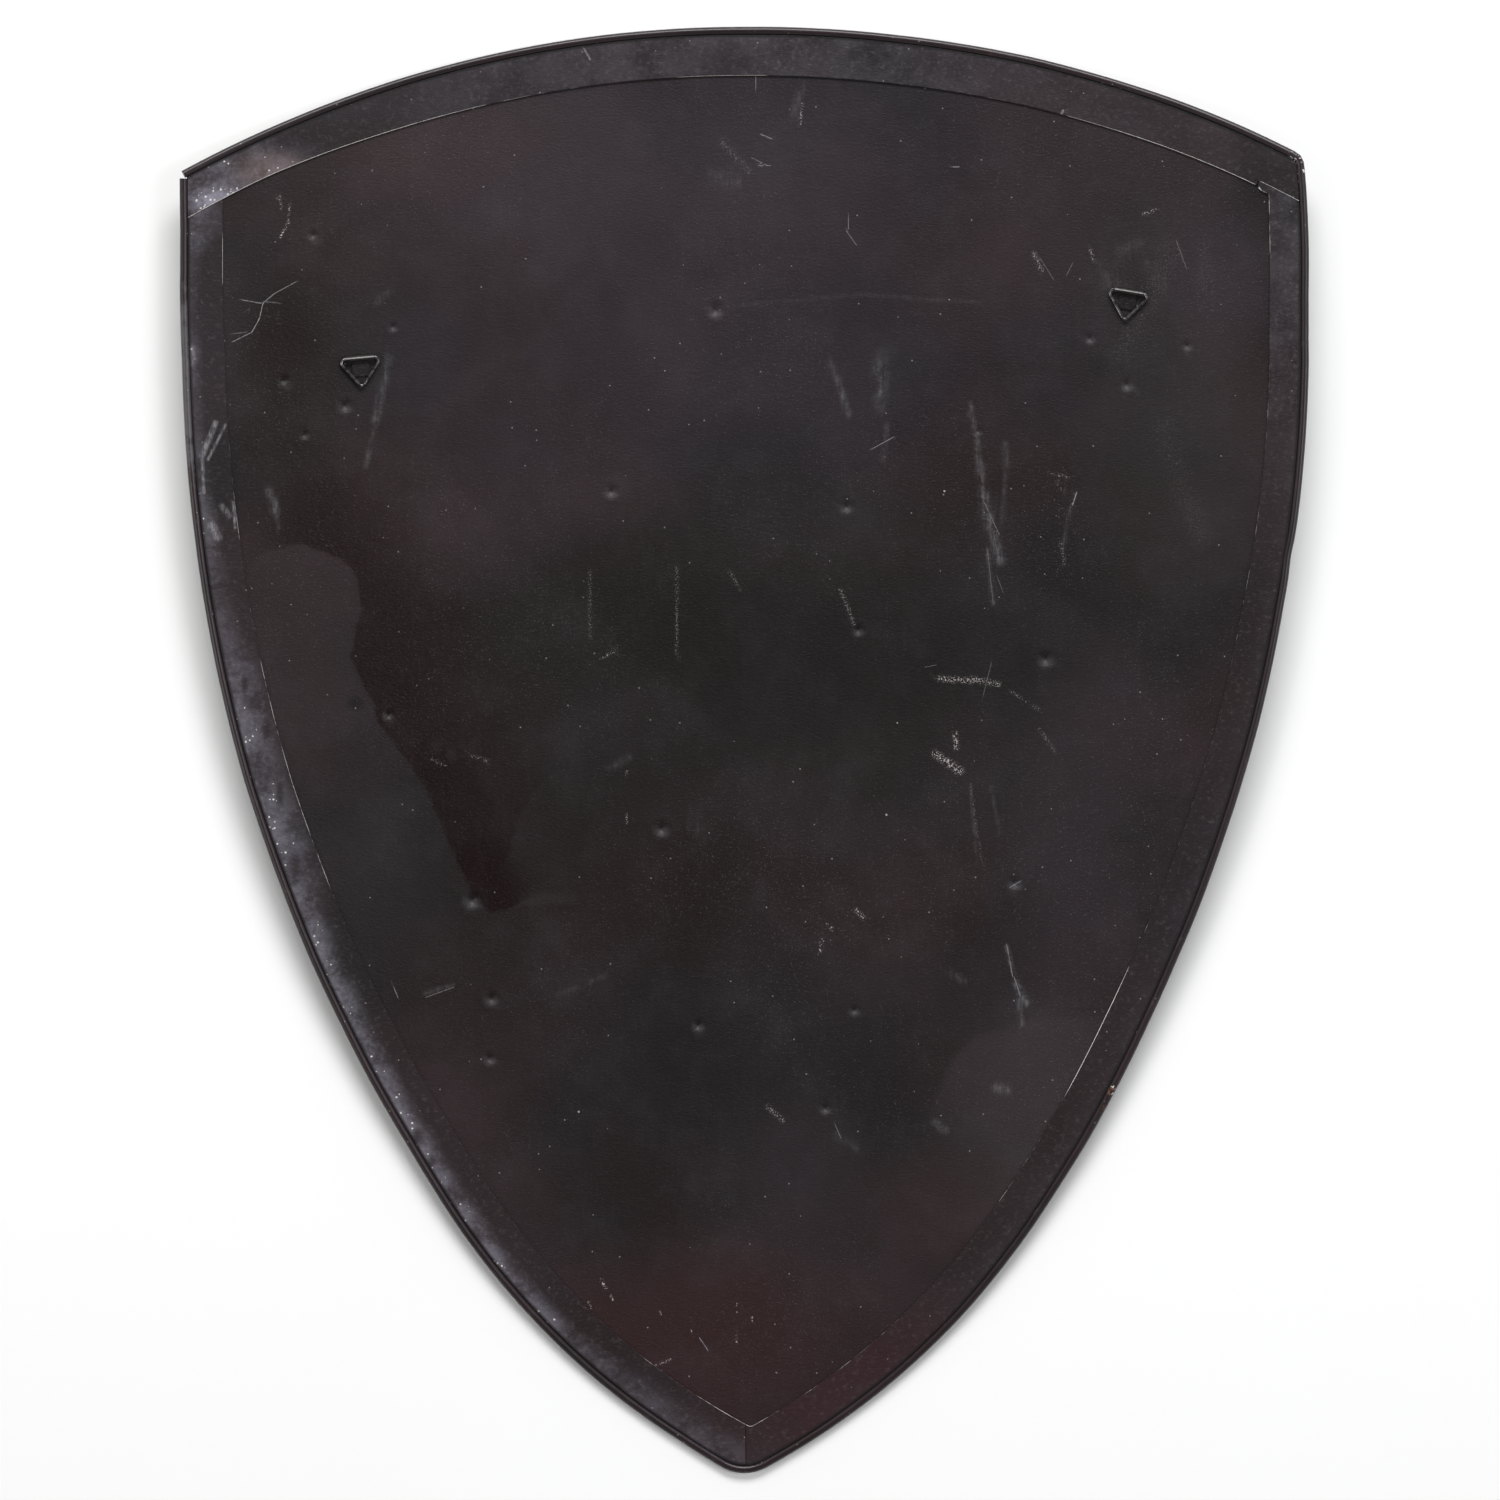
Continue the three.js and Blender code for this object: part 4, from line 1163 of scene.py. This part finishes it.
borderFinish = {
    "cloudScale": 9.0,
    "undertone": colour(30, 22, 26),
    # the pale bluish haze colour stands for painted sheen of the soft lights, partly dust
    "haze": colour(190, 185, 202),
    "dustAndSheenShare": 0.16,
    "sparkle": (2.1 * mm, 0.55 * mm, 0.7),   # spacing, size, strength, where the haze is thick
    "specks": (6 * mm, 0.4 * mm, 0.2),
    "speckAmount": 0.4,
    # middle, half size in millimetres, ragged, strength, and the tint
    "rosyPatch": (((-243, 299), (20, 11), 0.4, 0.07), colour(214, 176, 164)),
    "ruddyTip": (((60, -330), (80, 60), 0.2, 0.6), colour(50, 24, 28)),
    "scuffShare": 0.3,
    "rubWidth": 0.34 * mm,
    "rubMetal": 0.4,
    "creviceShade": colour(14, 12, 12),             # painted shade in the crevice along the rod
    "creviceShadeReach": (0.3 * mm, 1.9 * mm),
    "creviceShadeShare": 0.9,
}


def makeBorderPaint():
    finish = borderFinish
    material, pad, shader, place = startMaterial("borderPaint")
    base, tone = paintBase(pad, place, finish["cloudScale"])
    base = pad.mix(0.3, base, finish["undertone"])
    patchy = pad.noise(place, 55.0, 5.0, 0.65)
    fine = pad.noise(place, 420.0, 3.0, 0.7)
    uneven = pad.ease(pad.timesPlus(fine, 0.35, patchy), 0.46, 0.86, 0.15, 1.1)
    # painted sheen beside the rim, partly dust, broken up and kept off the thumb marks
    haze = pad.times(readValue(pad, "dustAndSheen"), uneven)
    for middle, half in stripScuffs["thumbs"]:
        haze = pad.times(haze, pad.math("SUBTRACT", 1.0, patchOver(pad, place, middle, half, 0.25, 0.75)))
    fibre = pad.noise(pad.vector("MULTIPLY", place, (1.0, 0.3, 1.0)), 900.0, 3.0, 0.7)
    scuffs = pad.times(strokeField(pad, place, stripScuffs["hazes"]), pad.ease(fibre, 0.35, 0.65, 0.2, 1.0))
    base = pad.mix(pad.times(haze, finish["dustAndSheenShare"], clamp=True), base, finish["haze"])
    spacing, size, strength = finish["sparkle"]
    sparkle = specksOver(pad, place, spacing, size, pad.timesPlus(haze, 0.75, -0.38))
    base = pad.mix(pad.times(sparkle, strength), base, paint["bare"])
    for name in ("rosyPatch", "ruddyTip"):
        patch, tint = finish[name]
        base = pad.mix(patchOver(pad, place, *patch), base, tint)
    base = pad.mix(pad.times(scuffs, finish["scuffShare"], clamp=True), base, paint["dust"])
    spacing, size, strength = finish["specks"]
    specks = specksOver(pad, place, spacing, size, finish["speckAmount"])
    dusty = pad.math("MAXIMUM", pad.times(specks, strength), pad.ease(fine, 0.5, 0.85, 0.0, 0.05))
    base = pad.mix(dusty, base, paint["chip"])
    rub = pad.group(edgeRub, {"Vector": place, "From Edge": readValue(pad, "fromInner"),
                              "Width": finish["rubWidth"], "Worn": readValue(pad, "worn")})
    # painted shade on the strip next to the rod, where the crevice is
    creviceShade = pad.ease(readValue(pad, "fromRim"), *finish["creviceShadeReach"], finish["creviceShadeShare"], 0.0)
    base = pad.mix(creviceShade, base, finish["creviceShade"])
    base = pad.mix(rub, base, paint["bare"])
    pad.feed(shader["Base Color"], base)
    pad.feed(shader["Metallic"], pad.times(rub, finish["rubMetal"]))
    rough = pad.timesPlus(tone, 0.16, paint["roughness"] - 0.04)
    pad.feed(shader["Roughness"], pad.timesPlus(haze, 0.12, rough))
    pad.feed(shader["Normal"], paintNormal(pad, place))
    return material


def makeStrips():
    runs = outlineRuns(shield["rimDiameter"] + strips["rimGap"])
    gap, step = shield["seatGap"], strips["endStep"]
    half = shield["width"] / 2
    leftRim = runs["left"]
    rightRim = joined(runs["right"], runs["corner"])
    stepX = half - strips["rightTop"] - strips["tongue"]
    reach = half + strips["overhang"]
    wide = np.linspace(-reach, reach, strips["cellsAlong"])

    def topEdge(drop):  # the top strip's lower edge with the step at its right end
        return np.vstack([
            topStripEdge(wide[wide < stepX], drop),
            topStripEdge(np.array([stepX]), drop),
            topStripEdge(np.array([stepX + strips["stepSlope"]]), drop - step),
            topStripEdge(wide[wide > stepX + strips["stepClear"]], drop - step),
        ])

    lower, under = topEdge(0.0), topEdge(gap)
    leftEnd = cutLine(leftRim, lower, True)[::-1]
    rightEnd = cutLine(rightRim, lower, False)
    lower = cutLine(cutLine(lower, leftRim, False), rightRim, True)
    top = stripSlab("strip_top", runs["crown"][::-1], lower, leftEnd, rightEnd, topLook)
    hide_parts("border_top")

    leftInner = innerEdge(-1, strips["leftTop"], strips["leftTip"])
    rightInner = innerEdge(1, strips["rightTop"], strips["rightTip"])
    apex, _, _ = meeting(leftInner, rightInner)
    tipLine = joined(runs["left"], runs["tip"], runs["right"])
    mitreLine = np.array([[strips["mitre"], -1], [strips["mitre"], 1]])
    leftOfMitre, rightOfMitre = mitreLine - [gap / 2, 0], mitreLine + [gap / 2, 0]

    # left strip, from under the top strip down to the mitre
    outer = cutLine(cutLine(tipLine, under, False), leftOfMitre, True)
    inner = cutLine(cutLine(leftInner, under, False), leftOfMitre, True)
    endTop = cutLine(cutLine(under, leftRim, False), leftInner, True)[::-1]
    left = stripSlab("strip_left", outer, inner, endTop, np.vstack([inner[-1], outer[-1]]), leftLook)
    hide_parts("border_left")

    # right strip, from the mitre up to its heel beside the top strip
    outer = cutLine(joined(tipLine, runs["corner"]), rightOfMitre, False)
    outer = cutLine(outer, under, True)
    heel = topStripEdge(np.array([stepX + strips["heelBeside"]]), gap - step)[0]
    low = heel - [0, strips["heelDrop"] * step]
    heelX = low[0] + strips["heelRun"]
    upInner = rightInner[::-1]
    upInner = upInner[upInner[:, 1] < low[1] - strips["heelStraight"]]
    straight = np.linspace(upInner[-1], [heelX, low[1] - strips["heelLow"]], 30)[1:]
    turn = np.array([[heelX, low[1] - strips["heelTurn"]]])
    share = np.linspace(0, 1, 12)[1:, None]
    bend = (1 - share) ** 2 * straight[-1] + 2 * share * (1 - share) * turn + share ** 2 * low
    start = cutLine(cutLine(leftInner, rightOfMitre, False), rightInner, True)
    inner = np.vstack([start, upInner[upInner[:, 1] > apex[1]], straight, bend, heel])
    endTop = np.vstack([heel, cutLine(under[under[:, 0] > heel[0]], rightRim, True)])
    right = stripSlab("strip_right", outer, inner, np.vstack([inner[0], outer[0]]), endTop, rightLook)
    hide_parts("border_right")

    look = makeBorderPaint()
    for piece in (top, left, right):
        piece.data.materials.append(look)


makeStrips()
print("border strips made")


# Rods and wires, swept along a path by one node tree
def makeSweptWire():
    tree = bpy.data.node_groups.new("sweptWire", "GeometryNodeTree")
    interface = tree.interface
    interface.new_socket("Path", in_out="INPUT", socket_type="NodeSocketGeometry")
    kinds = {"Diameter": "Float", "Sides": "Int", "Sway": "Float", "Sway Length": "Float", "Seed": "Int",
             "Finish": "Material"}
    for label, kind in kinds.items():
        interface.new_socket(label, in_out="INPUT", socket_type="NodeSocket" + kind)
    interface.new_socket("Rod", in_out="OUTPUT", socket_type="NodeSocketGeometry")
    pad = NodePad(tree)
    given, out = pad.node("NodeGroupInput").outputs, pad.node("NodeGroupOutput").inputs
    store = pad.node("GeometryNodeStoreNamedAttribute", data_type="FLOAT", domain="POINT")
    pad.feed(store.inputs["Geometry"], given["Path"])
    store.inputs["Name"].default_value = "along"
    pad.feed(store.inputs["Value"], pad.node("GeometryNodeSplineParameter").outputs["Length"])
    circle = pad.node("GeometryNodeCurvePrimitiveCircle", mode="RADIUS")
    pad.feed(circle.inputs["Resolution"], given["Sides"])
    pad.feed(circle.inputs["Radius"], pad.times(given["Diameter"], 0.5))
    sweep = pad.node("GeometryNodeCurveToMesh")
    pad.feed(sweep.inputs["Curve"], store.outputs["Geometry"])
    pad.feed(sweep.inputs["Profile Curve"], circle.outputs["Curve"])
    sweep.inputs["Fill Caps"].default_value = True
    place = pad.node("GeometryNodeInputPosition").outputs[0]
    spot = pad.node("ShaderNodeTexNoise", noise_dimensions="4D")
    pad.feed(spot.inputs["Vector"], place)
    pad.feed(spot.inputs["W"], given["Seed"])
    pad.feed(spot.inputs["Scale"], pad.math("DIVIDE", 1.0, given["Sway Length"]))
    away = pad.vector("SUBTRACT", spot.outputs["Color"], (0.5, 0.5, 0.5))
    swing = pad.vector("SCALE", away, scale=given["Sway"])
    move = pad.node("GeometryNodeSetPosition")
    pad.feed(move.inputs["Geometry"], sweep.outputs["Mesh"])
    pad.feed(move.inputs["Offset"], swing)
    soft = pad.node("GeometryNodeSetShadeSmooth")
    pad.feed(soft.inputs["Geometry"], move.outputs["Geometry"])
    real = pad.node("GeometryNodeRealizeInstances")
    pad.feed(real.inputs["Geometry"], soft.outputs["Geometry"])
    dress = pad.node("GeometryNodeSetMaterial")
    pad.feed(dress.inputs["Geometry"], real.outputs["Geometry"])
    pad.feed(dress.inputs["Material"], given["Finish"])
    pad.feed(out["Rod"], dress.outputs["Geometry"])
    return tree


sweptWire = makeSweptWire()


def sweepAlong(name, points, settings):
    curve = bpy.data.curves.new(name + "Path", "CURVE")
    curve.dimensions = "3D"
    spline = curve.splines.new("POLY")
    spline.points.add(len(points) - 1)
    spline.points.foreach_set("co", np.column_stack([points, np.ones(len(points))]).ravel())
    path = pieceFrom(name + "Path", curve)
    modifier = path.modifiers.new("sweptWire", "NODES")
    modifier.node_group = sweptWire
    for item in sweptWire.interface.items_tree:
        if item.item_type == "SOCKET" and item.in_out == "INPUT" and item.name in settings:
            modifier[item.identifier] = settings[item.name]
    shape = path.evaluated_get(bpy.context.evaluated_depsgraph_get())
    mesh = bpy.data.meshes.new_from_object(shape)
    mesh.name = name
    path.modifiers.remove(modifier)
    bpy.data.objects.remove(path)
    return pieceFrom(name, mesh)


rim = {
    "sides": 20,
    "spacing": 3.2 * mm,
    "sway": 0.16 * mm,
    "swayLength": 35 * mm,
    "slack": 0.14 * mm,       # what the sway takes of the rod's own diameter
    "startLow": 1.2 * mm,     # the side run starts under the crown run's end
    "crownReach": 0.25 * mm,  # the crown run's end stands past the side run
    "seed": 4,
    "nickX": 250 * mm,        # a knock on the right side, past this
    "nickY": 100 * mm,
    "nickDepth": 0.7 * mm,
    "nickLength": 9 * mm,
}


def makeRim():
    inset = shield["rimDiameter"] / 2
    runs = outlineRuns(inset)
    line = joined(*(runs[name] for name in ("left", "tip", "right", "corner", "crown")))
    line = unevenly(line[np.argmax(line[:, 1] < line[0][1] - rim["startLow"]):])
    onward = line[-1] - line[-4]
    line = np.vstack([line, line[-1] + onward / np.hypot(*onward) * rim["crownReach"]])
    line = evenly(line, int(np.hypot(*np.diff(line, axis=0).T).sum() / rim["spacing"]))
    nick = rim["nickDepth"] * np.exp(-((line[:, 1] - rim["nickY"]) / rim["nickLength"]) ** 2)
    line[:, 0] -= np.where(line[:, 0] > rim["nickX"], nick, 0)
    points = np.column_stack([line, bentHeight(line[:, 0], inset)])
    piece = sweepAlong("rim_bead", points, {
        "Diameter": shield["rimDiameter"] - rim["slack"],
        "Sides": rim["sides"],
        "Sway": rim["sway"],
        "Sway Length": rim["swayLength"],
        "Seed": rim["seed"],
        "Finish": makeRimPaint(),
    })
    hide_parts("rim_rod")
    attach(piece, "root")
    return piece


rimFinish = {
    "cloudScale": 14.0,
    "undertone": colour(42, 32, 36),
    "shine": 0.4,
    # middle, half size in millimetres, ragged, strength
    "rubbed": ((-289, 180), (20, 60), 0.3, 0.32),
    "bare": ((187, -178), (12, 12), 0.2, 0.7),
    "bareCorner": ((286, 303), (12, 14), 0.2, 0.8),
    "rubShare": 0.09,
    "rustShare": 0.6,
    "specks": (4.5 * mm, 0.4 * mm, 0.35),    # spacing, size, amount
    "speckShare": 0.2,
    "flakeShare": 0.8,
    "rise": 0.12 * mm,
}


def makeRimPaint():
    finish = rimFinish
    material, pad, shader, place = startMaterial("rimPaint")
    base, tone = paintBase(pad, place, finish["cloudScale"])
    base = pad.mix(0.4, base, finish["undertone"])
    worn = pad.noise(place, 160.0, 5.0, 0.7)
    long = pad.noise(place, 16.0, 3.0, 0.6)
    names = ("rubbed", "bare", "bareCorner")
    rubbed, bare, corner = (patchOver(pad, place, *finish[name]) for name in names)
    rub = pad.ease(pad.math("ADD", pad.timesPlus(long, 0.5, worn), rubbed), 0.86, 1.1)
    bared = pad.math("MAXIMUM", bare, corner)
    flaking = pad.ease(pad.timesPlus(bared, 0.26, pad.noise(place, 480.0, 2.0, 0.6)), 0.78, 0.84)
    rusty = pad.ease(pad.timesPlus(bare, 0.2, pad.noise(place, 210.0, 3.0, 0.6)), 0.7, 0.8)
    base = pad.mix(pad.times(rub, finish["rubShare"]), base, paint["dust"])
    base = pad.mix(pad.times(rusty, finish["rustShare"]), base, paint["rust"])
    specks = specksOver(pad, place, *finish["specks"])
    base = pad.mix(pad.times(specks, finish["speckShare"]), base, paint["bare"])
    base = pad.mix(pad.times(flaking, finish["flakeShare"]), base, paint["bare"])
    pad.feed(shader["Base Color"], base)
    shader["Specular IOR Level"].default_value = finish["shine"]
    pad.feed(shader["Roughness"], pad.timesPlus(worn, 0.24, 0.2))
    pad.feed(shader["Normal"], addBump(pad, pad.math("SUBTRACT", worn, flaking), finish["rise"], 0.7))
    return material


rimBead = makeRim()
print("rim bead made,", len(rimBead.data.polygons), "faces")

# Hangers
hanging = {
    "wire": 1.5 * mm,
    "halfBase": 11.6 * mm,   # to where the bar's and the leg's lines would cross
    "drop": 15.2 * mm,
    "corner": 1.95 * mm,
    "apex": 1.5 * mm,
    "endGap": 0.4 * mm,
    "bore": 1.05 * mm,       # of the rolled sleeve
    "wall": 0.55 * mm,
    "endClearance": 0.25 * mm,
    "tailWidth": 8.8 * mm,
    "tailLength": 9.3 * mm,
    "tailEnd": 0.6 * mm,     # the flat tail turns into the roll this far from under the bar
    "highlightBeside": 0.2 * mm,   # a painted highlight line runs along the roll this far from its top
    "tailPoints": 16,
    "rollTurn": (-90, 246),  # degrees round the bar
    "rollPoints": 46,
    "pointsAcross": 13,
    "edgeRound": 0.1 * mm,
    "wirePoints": 170,
    "wireSides": 16,
    "wireSway": 0.12 * mm,
    "wireSwayLength": 7 * mm,
    "wireSeed": {"left": 2, "right": 7},
}


def hangerFrame(hang, above):  # stands on the bent sheet, turned as the strap is
    past = max(abs(hang["x"]) - shield["flatBand"] / 2, 0)
    slope = math.asin(past / (shield["bendRadius"] - above)) * -math.copysign(1, hang["x"])
    lift = float(bentHeight(hang["x"], above))
    return (Matrix.Translation((hang["x"], hang["y"], lift)) @ Matrix.Rotation(slope, 4, "Y")
            @ Matrix.Rotation(hang["turn"], 4, "Z"))


def placed(points, matrix):
    turned = np.asarray(points) @ np.array(matrix.to_3x3()).T
    return turned + np.array(matrix.translation)


def ringPath():
    base = math.atan2(hanging["drop"], hanging["halfBase"])
    leg = math.pi / 2 - base
    barHalf = hanging["halfBase"] - hanging["corner"] / math.tan(base / 2)
    corner = Vector((barHalf, -hanging["corner"]))
    apex = Vector((0, hanging["apex"] / math.cos(base) - hanging["drop"]))
    right = arcPoints(corner, hanging["corner"], -leg, math.pi / 2, 12)[::-1]
    bottom = arcPoints(apex, hanging["apex"], math.pi + leg, -leg, 12)[::-1]
    left = (right * [-1, 1])[::-1]
    half = hanging["endGap"] / 2
    line = joined(np.array([[half, 0], [barHalf, 0]]), right, bottom, left,
                  np.array([[-barHalf, 0], [-half, 0]]))
    flat = evenly(line, hanging["wirePoints"])
    return np.column_stack([flat, np.zeros(len(flat))]), barHalf


def makeRingSteel():
    material, pad, shader, place = startMaterial("ringSteel")
    dull = pad.noise(place, 420.0, 4.0, 0.6)
    base = pad.mix(pad.ease(dull, 0.35, 0.7), colour(128, 125, 124), colour(46, 44, 44))
    rust = pad.ease(pad.noise(place, 1500.0, 3.0, 0.6), 0.66, 0.74)
    base = pad.mix(pad.times(rust, 0.6), base, paint["rust"])
    pad.feed(shader["Base Color"], base)
    pad.feed(shader["Metallic"], pad.math("SUBTRACT", 0.9, pad.times(rust, 0.6)))
    pad.feed(shader["Roughness"], pad.timesPlus(dull, 0.25, 0.14))
    pad.feed(shader["Normal"], addBump(pad, dull, 0.05 * mm, 0.5))
    return material


def makeStrapPaint():
    material, pad, shader, place = startMaterial("strapPaint")
    base, _ = paintBase(pad, place, 60.0)
    base = pad.mix(0.5, base, colour(12, 10, 11))
    # the rub along the top of the roll is a painted highlight line
    rub = pad.group(edgeRub, {"Vector": place, "From Edge": readValue(pad, "fromRoll"),
                              "Width": 0.42 * mm, "Worn": 0.9})
    fine = pad.noise(pad.vector("MULTIPLY", place, (0.3, 1.0, 1.0)), 1500.0, 3.0, 0.6)
    base = pad.mix(pad.ease(fine, 0.5, 0.8, 0.0, 0.07), base, paint["dust"])
    base = pad.mix(pad.times(rub, 0.4), base, paint["bare"])
    pad.feed(shader["Base Color"], base)
    pad.feed(shader["Metallic"], pad.times(rub, 0.6))
    pad.feed(shader["Roughness"], pad.timesPlus(fine, 0.2, 0.36))
    pad.feed(shader["Normal"], addBump(pad, fine, 0.05 * mm, 0.5))
    return material


def strapMesh(name, barHalf, matrix):
    bore, wall, across = hanging["bore"], hanging["wall"], hanging["pointsAcross"]
    radius, outerRadius = bore + wall / 2, bore + wall
    # the strap's middle line seen from its side: y, z, and the way its upper face looks
    count = hanging["tailPoints"]
    flat = np.linspace(-hanging["tailLength"], -hanging["tailEnd"], count)
    tail = np.column_stack([flat, np.full(count, wall / 2), flat * 0, flat * 0 + 1])
    angles = np.radians(np.linspace(*hanging["rollTurn"], hanging["rollPoints"]))
    roll = np.column_stack([radius * np.cos(angles), outerRadius + radius * np.sin(angles),
                            -np.cos(angles), -np.sin(angles)])
    line = np.vstack([tail, roll])
    halfWidths = np.full(len(line), barHalf - hanging["endClearance"])
    halfWidths[:count] = hanging["tailWidth"] / 2
    x = halfWidths[:, None] * np.linspace(-1, 1, across)
    nets = []
    for side in (wall / 2, -wall / 2):
        y, z = (np.repeat((line[:, k] + side * line[:, k + 2])[:, None], across, 1) for k in (0, 1))
        nets.append(np.stack([x, y, z], 2).reshape(-1, 3))
    local = np.concatenate(nets)
    mesh = closedMesh(name, placed(local, matrix), len(line), across)
    beside, over = local[:, 1] - hanging["highlightBeside"], local[:, 2] - 2 * outerRadius
    setValues(mesh, "fromRoll", np.hypot(beside, over))
    smooth(mesh, 40)
    return mesh


def makeHangers():
    above = shield["sheetBack"] + shield["seatGap"]
    path, barHalf = ringPath()
    steel, strapLook = makeRingSteel(), makeStrapPaint()
    for side, hang in hangers.items():
        matrix = hangerFrame(hang, above)
        strap = pieceFrom("strap_" + side, strapMesh("strap_" + side, barHalf, matrix))
        strap.data.materials.append(strapLook)
        roundEdges(strap, hanging["edgeRound"])
        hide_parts("hanger_strap_" + side)
        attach(strap, "root")
        lifted = matrix @ Matrix.Translation((0, 0, hanging["bore"] + hanging["wall"]))
        ring = sweepAlong("ring_" + side, placed(path, lifted), {
            "Diameter": hanging["wire"],
            "Sides": hanging["wireSides"],
            "Sway": hanging["wireSway"],
            "Sway Length": hanging["wireSwayLength"],
            "Seed": hanging["wireSeed"][side],
            "Finish": steel,
        })
        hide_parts("hanger_ring_" + side)
        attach(ring, "ring_" + side)


makeHangers()
print("hangers made")

# Floor and light
studio = {
    "floor": 14.0,
    "floorTone": 0.9,
    "floorDrop": 0.1 * mm,     # under the object's lowest point
    "floorRough": 0.9,
    "skyAbove": 0.1,
    "skyAround": 0.65,
    # place, aim, size across and along, watts, tint
    "softTop": ((0.2, 3.2, 2.6), (0, 0.1, 0), (3.0, 1.4), 175, (1.0, 1.0, 1.0)),
    "softRight": ((2.8, 0.1, 3.6), (0, 0, 0), (1.4, 2.6), 55, (0.97, 0.98, 1.0)),
    "softLeft": ((-3.2, -0.6, 3.0), (0, 0, 0), (1.4, 2.4), 45, (1.0, 0.99, 0.98)),
}


def makeStudio():
    mesh = bpy.data.meshes.new("paleFloor")
    half = studio["floor"] / 2
    corners = [(-half, -half, 0), (half, -half, 0), (half, half, 0), (-half, half, 0)]
    mesh.from_pydata(corners, [], [(0, 1, 2, 3)])
    floor = pieceFrom("paleFloor", mesh)
    floor.location.z = cadBox[0][2] - studio["floorDrop"]
    material, pad, shader, place = startMaterial("palePaper")
    shade = pad.ease(pad.noise(place, 3.0), 0.2, 0.8)
    tone = studio["floorTone"]
    paper, shaded = (tone, tone, tone, 1), (tone * 0.99, tone * 0.99, tone * 0.985, 1)
    pad.feed(shader["Base Color"], pad.mix(shade, paper, shaded))
    shader["Roughness"].default_value = studio["floorRough"]
    mesh.materials.append(material)
    for name in ("softTop", "softRight", "softLeft"):
        place, aim, size, watts, tint = studio[name]
        light = bpy.data.lights.new(name, "AREA")
        light.shape = "RECTANGLE"
        light.size, light.size_y = size
        light.energy = watts
        light.color = tint
        lamp = pieceFrom(name, light)
        lamp.location = place
        lamp.rotation_mode = "QUATERNION"
        lamp.rotation_quaternion = (Vector(aim) - Vector(place)).to_track_quat("-Z", "Y")
        lamp.visible_camera = False
    world = bpy.data.worlds.new("softRoom")
    world.use_nodes = True
    pad = NodePad(world.node_tree)
    up = pad.node("ShaderNodeSeparateXYZ")
    pad.feed(up.inputs[0], pad.node("ShaderNodeTexCoord").outputs["Generated"])
    background = world.node_tree.nodes["Background"]
    background.inputs["Color"].default_value = (1, 1, 1, 1)
    pad.feed(background.inputs["Strength"],
             pad.ease(up.outputs["Z"], 0.1, 0.9, studio["skyAround"], studio["skyAbove"]))
    bpy.context.scene.world = world
    bpy.context.scene.view_settings.view_transform = "Standard"


makeStudio()
print("floor and lights made")
